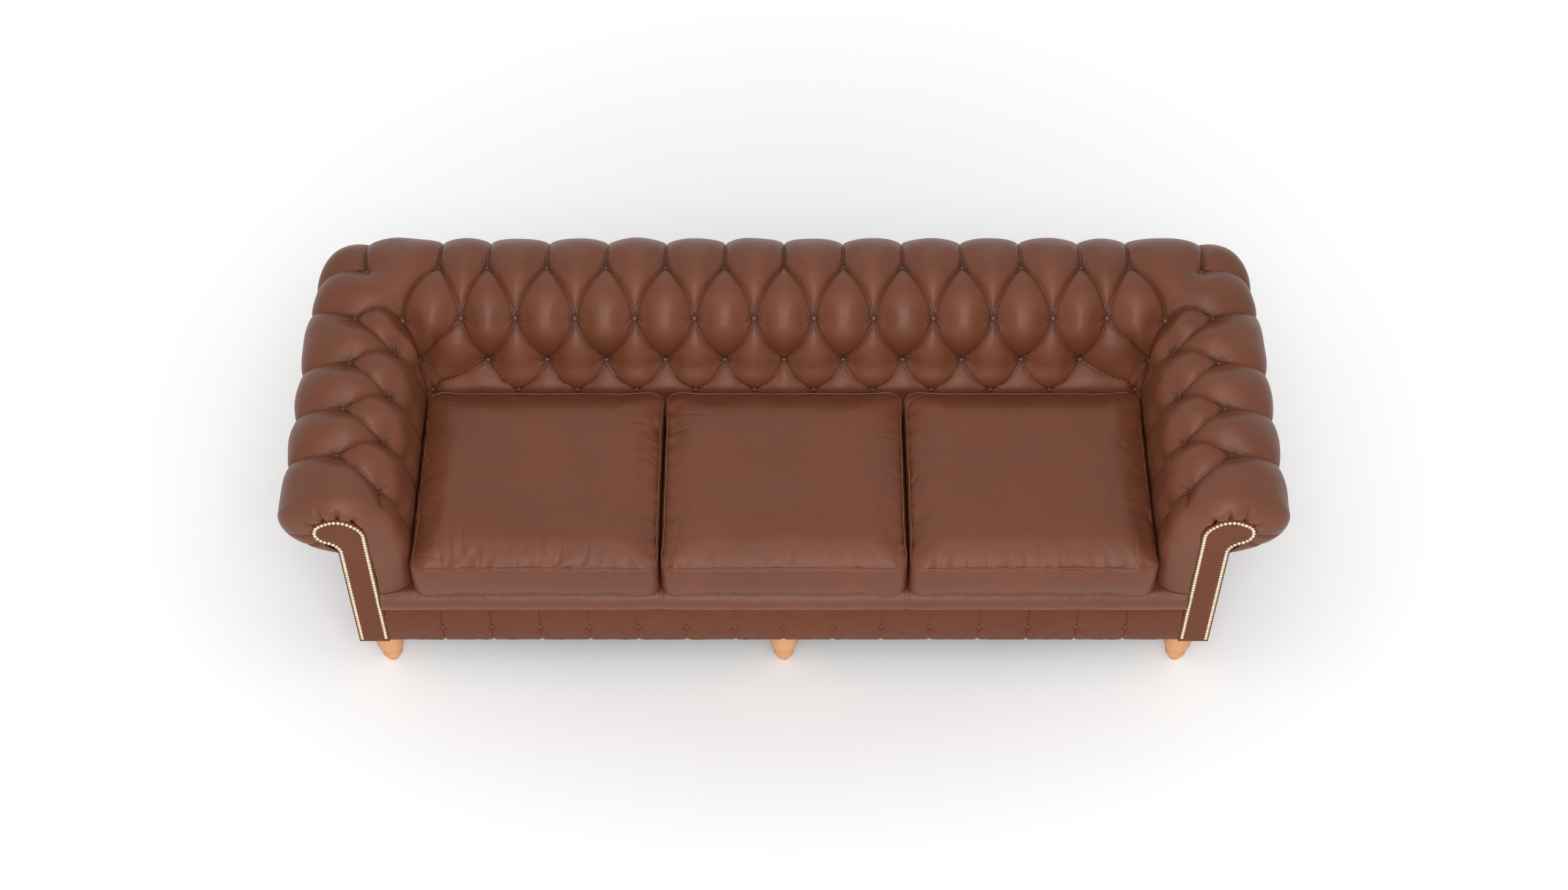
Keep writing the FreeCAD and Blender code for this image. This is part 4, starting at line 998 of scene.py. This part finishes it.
class SOFA_OT_feet(bpy.types.Operator):
    """Turns the six feet with their rings, bowl, lip and toe"""
    bl_idname = "sofa.feet"
    bl_label = "Turned feet"

    def execute(self, context):
        for node in sorted(frame["nodes"]):
            if not node.startswith(("foot_front", "foot_rear")):
                continue
            low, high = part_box(node)
            middle = (low + high) / 2
            bm = bmesh.new()
            outline = [bm.verts.new((middle.x + share * (high.x - low.x) / 2, middle.y,
                                     low.z + level * (high.z - low.z)))
                       for share, level in FOOT_OUTLINE]
            outline += [bm.edges.new(pair) for pair in zip(outline, outline[1:])]
            bmesh.ops.spin(bm, geom=outline, cent=middle, axis=(0, 0, 1), angle=2 * math.pi,
                           steps=56, use_merge=True)
            bmesh.ops.remove_doubles(bm, verts=bm.verts, dist=1e-6)
            bmesh.ops.recalc_face_normals(bm, faces=bm.faces)
            make_object(f"turned_{node}", outward(mesh_of(bm, f"turned_{node}")), "foot_wood",
                        node, slot="foot_wood")
        return {"FINISHED"}


class SOFA_OT_panels(bpy.types.Operator):
    """Builds the plain leather of the outer arms and back, the deck and the dust cover"""
    bl_idname = "sofa.panels"
    bl_label = "Panels, deck and dust cover"

    def execute(self, context):
        for name, side in SIDES:
            low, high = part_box(f"outer_arm_panel_{name}")
            along, up, out = self.slab((low.y, high.y), (low.z, high.z), 150, 70)
            outer = max(abs(low.x), abs(high.x))
            points = stacked(side * (outer - 0.004 + out), along, up)
            self.panel(f"outer_hide_{name}", points, 20 + side, f"outer_arm_panel_{name}")
        low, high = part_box("outer_back_panel")
        along, up, out = self.slab((low.x, high.x), (low.z, high.z), 380, 70)
        points = stacked(along, high.y - 0.004 + out, up)
        self.panel("outer_hide_back", points, 24, "outer_back_panel")

        low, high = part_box("deck_cover")
        along, up, out = self.slab((low.x, high.x), (low.y, high.y), 240, 90)
        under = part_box("deck_padding")[0].z + 0.001
        level = np.where(out > 0, high.z - 0.0004 - 0.5 * out, under)
        deck = self.panel("deck_hide", stacked(along, up, level), 28, "deck_cover",
                          "deck_padding")

        low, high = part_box("dust_cover")
        x = np.linspace(low.x, high.x, 120)[None, :]
        y = np.linspace(low.y, high.y, 50)[:, None]
        sag = 0.0035 * (1 - (x / high.x) ** 4) * (1 - ((2 * y - low.y - high.y)
                                                       / (high.y - low.y)) ** 4)
        mesh = grid("dust_cloth", stacked(x, y, low.z + 0.0006 - sag))
        piece = make_object("dust_cloth", mesh, "black_cloth", "dust_cover", slot="black_cloth")
        return {"FINISHED"}

    @staticmethod
    def slab(span, rise, columns, rows):
        """A closed thin pad in its own plane: along, up and out."""
        along = np.linspace(*span, columns)[None, :]
        up = np.concatenate([np.linspace(*rise, rows), np.linspace(*rise[::-1], 6)[1:-1]])[:, None]
        outside = (np.arange(len(up)) < rows)[:, None]
        s = (along - span[0]) / (span[1] - span[0]) * 2 - 1
        t = (up - rise[0]) / (rise[1] - rise[0]) * 2 - 1
        out = 0.0035 + 0.0030 * (1 - s ** 6) * (1 - t ** 6)
        edge = np.minimum(np.minimum(along - span[0], span[1] - along),
                          np.minimum(up - rise[0], rise[1] - up))
        out = out - 0.0030 * np.clip(1 - edge / 0.006, 0, 1) ** 2
        return np.broadcast_arrays(along, up, np.where(outside, out, 0.0))

    @staticmethod
    def panel(name, points, seed, *nodes):
        flat = points.reshape(-1, 3)
        flat = flat + 0.0004 * (ripple(flat, 0.18, seed) - 1)[:, None] * np.sign(
            flat - (flat.min(axis=0) + flat.max(axis=0)) / 2)
        return make_object(name, shell(name, flat.reshape(points.shape)), "flat_leather", *nodes)


class SOFA_OT_cushions(bpy.types.Operator):
    """Inflates a box cushion, then sets it three times with its own creases"""
    bl_idname = "sofa.cushions"
    bl_label = "Seat cushions"

    def execute(self, context):
        sizes = context.scene.sofa_sizes
        low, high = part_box("cushion_cover_middle")
        self.low, self.high = np.array(low), np.array(high)
        self.centre = (self.low + self.high) / 2
        self.half = (self.high - self.low)[:2] / 2 - CUSHION_SLACK
        mesh = self.blank(sizes)
        self.inflate(mesh, sizes)
        self.relax(mesh)
        mesh = self.refine(mesh)
        points = read_points(mesh)
        seams = [self.line_of(mesh, name) for name in ("top_seam", "bottom_seam")]
        for number, name in enumerate(CUSHIONS):
            low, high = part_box(f"cushion_cover_{name}")
            shift_x = (low.x + high.x) / 2 - self.centre[0]
            self.set_down(mesh.copy(), points, seams, shift_x, name, CUSHION_SEED + 7 * number)
        return {"FINISHED"}

    def plan_distance(self, points):
        """How far outside the cushion's rounded plan each point is."""
        q = np.abs(points[:, :2] - self.centre[:2]) - (self.half - CUSHION_CORNER)
        return (np.linalg.norm(np.maximum(q, 0), axis=1) + np.minimum(q.max(axis=1), 0)
                - CUSHION_CORNER)

    def height_share(self, points):
        return np.clip((points[:, 2] - self.low[2]) / (SEAM_HIGH - self.low[2]), 0, 1)

    def blank(self, sizes):
        """A rounded box, remeshed evenly, with its seams marked on it."""
        bm = bmesh.new()
        bmesh.ops.create_cube(bm, size=1)
        height = SEAM_HIGH - self.low[2]
        bmesh.ops.scale(bm, verts=bm.verts, vec=(*(2 * self.half), height))
        bmesh.ops.translate(bm, verts=bm.verts,
                            vec=(*self.centre[:2], self.low[2] + height / 2))
        upright = [e for e in bm.edges if abs(e.verts[0].co.z - e.verts[1].co.z) > 0.01]
        rounded(bm, upright, CUSHION_CORNER, 7)
        rims = [e for e in bm.edges if abs(e.verts[0].co.z - e.verts[1].co.z) < 1e-4
                and len({round(f.normal.z) for f in e.link_faces}) > 1]
        rounded(bm, rims, 0.007, 2)
        piece = linked("cushion_blank", mesh_of(bm, "cushion_blank"))
        voxels = piece.modifiers.new("voxels", "REMESH")
        voxels.mode = "VOXEL"
        voxels.voxel_size = sizes.cushion_voxel
        mesh = evaluated(piece)
        points = read_points(mesh)
        edge = self.plan_distance(points) + 0.003
        store(mesh, "top_seam", "FLOAT", np.hypot(edge, points[:, 2] - SEAM_HIGH + 0.003))
        store(mesh, "bottom_seam", "FLOAT", np.hypot(edge, points[:, 2] - self.low[2] - 0.004))
        share = self.height_share(points)
        across = (points[:, :2] - self.centre[:2]) / self.half
        dome = (1 - across[:, 0] ** 2) * (1 - across[:, 1] ** 2)
        points[:, 2] += 0.008 * share * np.clip(dome, 0, 1)
        write_points(mesh, points)
        return mesh

    def inflate(self, mesh, sizes):
        """Blows the cushion up as cloth and keeps a capped part of the swelling."""
        piece = linked("cushion_cloth", mesh)
        before = read_points(mesh)
        form = piece.modifiers.new("cloth", "CLOTH")
        form.settings.use_pressure = True
        form.settings.uniform_pressure_force = sizes.cushion_pressure
        form.settings.effector_weights.gravity = 0
        form.settings.quality = 4
        form.point_cache.frame_end = CLOTH_FRAMES
        for step in range(1, CLOTH_FRAMES + 1):
            bpy.context.scene.frame_set(step)
        swollen = evaluated(piece)
        move = read_points(swollen) - before
        bpy.context.scene.frame_set(1)
        bpy.data.meshes.remove(swollen)
        reach = np.percentile(np.linalg.norm(move, axis=1), 99)
        move *= min(1, sizes.cushion_cap / reach)
        write_points(mesh, before + move)

    def relax(self, mesh):
        """Lets the cushion lie flat on the deck and against its neighbours."""
        points = read_points(mesh)
        for axis, spare in ((0, 0.0002), (1, 0.002)):
            limit = (self.high[axis] - self.low[axis]) / 2 + spare
            off = points[:, axis] - self.centre[axis]
            off *= (self.half[axis] + CUSHION_SLACK) / np.percentile(np.abs(off), 93)
            over = np.maximum(np.abs(off) - (limit - 0.005), 0)
            points[:, axis] = self.centre[axis] + np.sign(off) * (
                np.minimum(np.abs(off), limit - 0.005) + 0.005 * (1 - np.exp(-over / 0.005)))
        inside = np.clip(-self.plan_distance(points) / 0.10, 0, 1)
        share = self.height_share(points)
        pillow = share ** 6 * (1 - (1 - inside) ** 2.6)
        points[:, 2] += 0.016 * pillow - 0.004 * share ** 3
        excess = np.maximum(points[:, 2] - (self.high[2] - 0.004), 0)
        points[:, 2] -= excess - 0.008 * np.tanh(excess / 0.008)
        bulge = np.sin(np.pi * share) * (inside < 0.2)
        points[:, 1] -= 0.004 * bulge * (points[:, 1] < self.centre[1])
        points[:, 2] = np.maximum(points[:, 2], self.low[2] + 0.0002)
        write_points(mesh, points)

    def refine(self, mesh):
        piece = linked("cushion_fine", mesh)
        finer = piece.modifiers.new("finer", "SUBSURF")
        finer.levels = finer.render_levels = 1
        fine = evaluated(piece)
        for polygon in fine.polygons:
            polygon.use_smooth = True
        return fine

    @staticmethod
    def creases(points, scale, seed):
        """Narrow soft valleys in scattered places, from 0 to 1."""
        line = np.exp(-(ripple(points, scale, seed) / 0.16) ** 2)
        return line * np.clip(0.35 + 1.2 * ripple(points, 1.7 * scale, seed + 50), 0, 1)

    def line_of(self, mesh, name):
        """Places along a seam, read off the swollen cushion in order."""
        points = read_points(mesh)[stored(mesh, name) < 0.0055]
        turn = np.arctan2(points[:, 1] - self.centre[1], points[:, 0] - self.centre[0])
        number = ((turn + math.pi) / (2 * math.pi) * WELT_STOPS).astype(int) % WELT_STOPS
        return np.array([points[number == k].mean(axis=0) for k in range(WELT_STOPS)
                         if (number == k).any()])

    def set_down(self, mesh, points, seams, shift_x, name, seed):
        """Creases one cushion, presses its seams in and adds its welts."""
        points = points.copy()
        local = points - self.centre
        top, bottom = stored(mesh, "top_seam"), stored(mesh, "bottom_seam")
        normals = read_points(mesh, "normal")
        up = np.clip(normals[:, 2], 0, 1)
        front = np.clip((-local[:, 1]) / self.half[1], 0, 1)
        edge = np.clip(-self.plan_distance(points), 0, 1)
        run = np.where(np.abs(local[:, 0] / self.half[0]) > np.abs(local[:, 1] / self.half[1]),
                       local[:, 1], local[:, 0])
        pucker = np.sin(run / 0.0085 + 2.2 * ripple(points, 0.09, seed))
        pucker *= np.clip(0.6 + ripple(points, 0.16, seed + 1), 0, 1.4)
        drawn = np.exp(-edge / 0.022) * up + 0.8 * np.exp(-top / 0.016) * (1 - up)
        drawn = drawn + 0.6 * np.exp(-bottom / 0.012) * (1 - up)
        long_crease = self.creases(points * (1.0, 0.20, 1.0), 0.075, seed + 2)
        side_crease = self.creases(points * (0.22, 1.0, 1.0), 0.070, seed + 3)
        beside = np.clip(np.abs(local[:, 0]) / self.half[0], 0, 1) ** 3
        move = 0.0013 * pucker * drawn
        move -= 0.0026 * long_crease * up * (0.12 + 0.88 * front ** 2)
        move -= 0.0030 * side_crease * up * beside
        move += 0.0008 * ripple(points * (1.0, 0.4, 1.0), 0.05, seed + 6) * up
        move += 0.0022 * ripple(points, 0.26, seed + 4) * up
        move -= 0.0020 * np.exp(-(top / 0.0062) ** 2) + 0.0014 * np.exp(-(bottom / 0.005) ** 2)
        points += normals * move[:, None]
        points[:, 2] = np.maximum(points[:, 2], self.low[2] + 0.0002)
        beyond = np.clip(local[:, 0] * np.sign(shift_x) / self.half[0], 0, 1) ** 3
        points[:, 0] += shift_x + 0.004 * np.sign(shift_x) * beyond
        write_points(mesh, points)
        mesh.name = f"cushion_{name}"
        piece = make_object(f"seat_cushion_{name}", mesh, "cushion_leather",
                            f"cushion_cover_{name}", f"cushion_core_{name}",
                            body=f"cushion_{name}")
        curve = bpy.data.curves.new(f"cushion_welt_{name}", "CURVE")
        curve.dimensions = "3D"
        curve.bevel_depth = bpy.context.scene.sofa_sizes.welt_radius
        curve.bevel_resolution = curve.resolution_u = 2
        for seam in seams:
            spline = curve.splines.new("NURBS")
            spline.points.add(len(seam) - 1)
            wave = 0.0006 * ripple(seam, 0.05, seed + 5)
            for point, seam_point, lift in zip(spline.points, seam, wave):
                away = seam_point - self.centre
                away[2] = 0
                out = away / max(np.linalg.norm(away), 1e-6) * 0.0006
                point.co = (*(seam_point + out + (shift_x, 0, lift)), 1)
            spline.order_u = 3
            spline.use_cyclic_u = True
        make_object(curve.name, curve, "button_leather", body=f"cushion_{name}")


class SOFA_PT_sidebar(bpy.types.Panel):
    """Lists the steps and the sizes of the sofa"""
    bl_idname = "SOFA_PT_sidebar"
    bl_label = "Deep-buttoned sofa"
    bl_space_type = "VIEW_3D"
    bl_region_type = "UI"
    bl_category = "Sofa"

    def draw(self, context):
        for step in ("stage", "materials", "arms", "back", "front", "facings", "feet",
                     "panels", "cushions"):
            self.layout.operator(f"sofa.{step}")
        for group in (context.scene.sofa_sizes, context.scene.sofa_colours):
            for name in group.__annotations__:
                self.layout.prop(group, name)


CLASSES = (SofaSizes, SofaColours, SOFA_OT_materials, SOFA_OT_stage, SOFA_OT_arms,
           SOFA_OT_back, SOFA_OT_front, SOFA_OT_facings, SOFA_OT_feet,
           SOFA_OT_panels, SOFA_OT_cushions, SOFA_PT_sidebar)


def register():
    for cls in CLASSES:
        bpy.utils.register_class(cls)
    bpy.types.Scene.sofa_sizes = bpy.props.PointerProperty(type=SofaSizes)
    bpy.types.Scene.sofa_colours = bpy.props.PointerProperty(type=SofaColours)


def unregister():
    del bpy.types.Scene.sofa_colours
    del bpy.types.Scene.sofa_sizes
    for cls in reversed(CLASSES):
        bpy.utils.unregister_class(cls)


def main():
    register()
    bpy.ops.sofa.stage()
    bpy.ops.sofa.materials()
    bpy.ops.sofa.arms()
    bpy.ops.sofa.back()
    bpy.ops.sofa.front()
    bpy.ops.sofa.facings()
    bpy.ops.sofa.feet()
    bpy.ops.sofa.panels()
    bpy.ops.sofa.cushions()


if __name__ == "__main__":
    main()
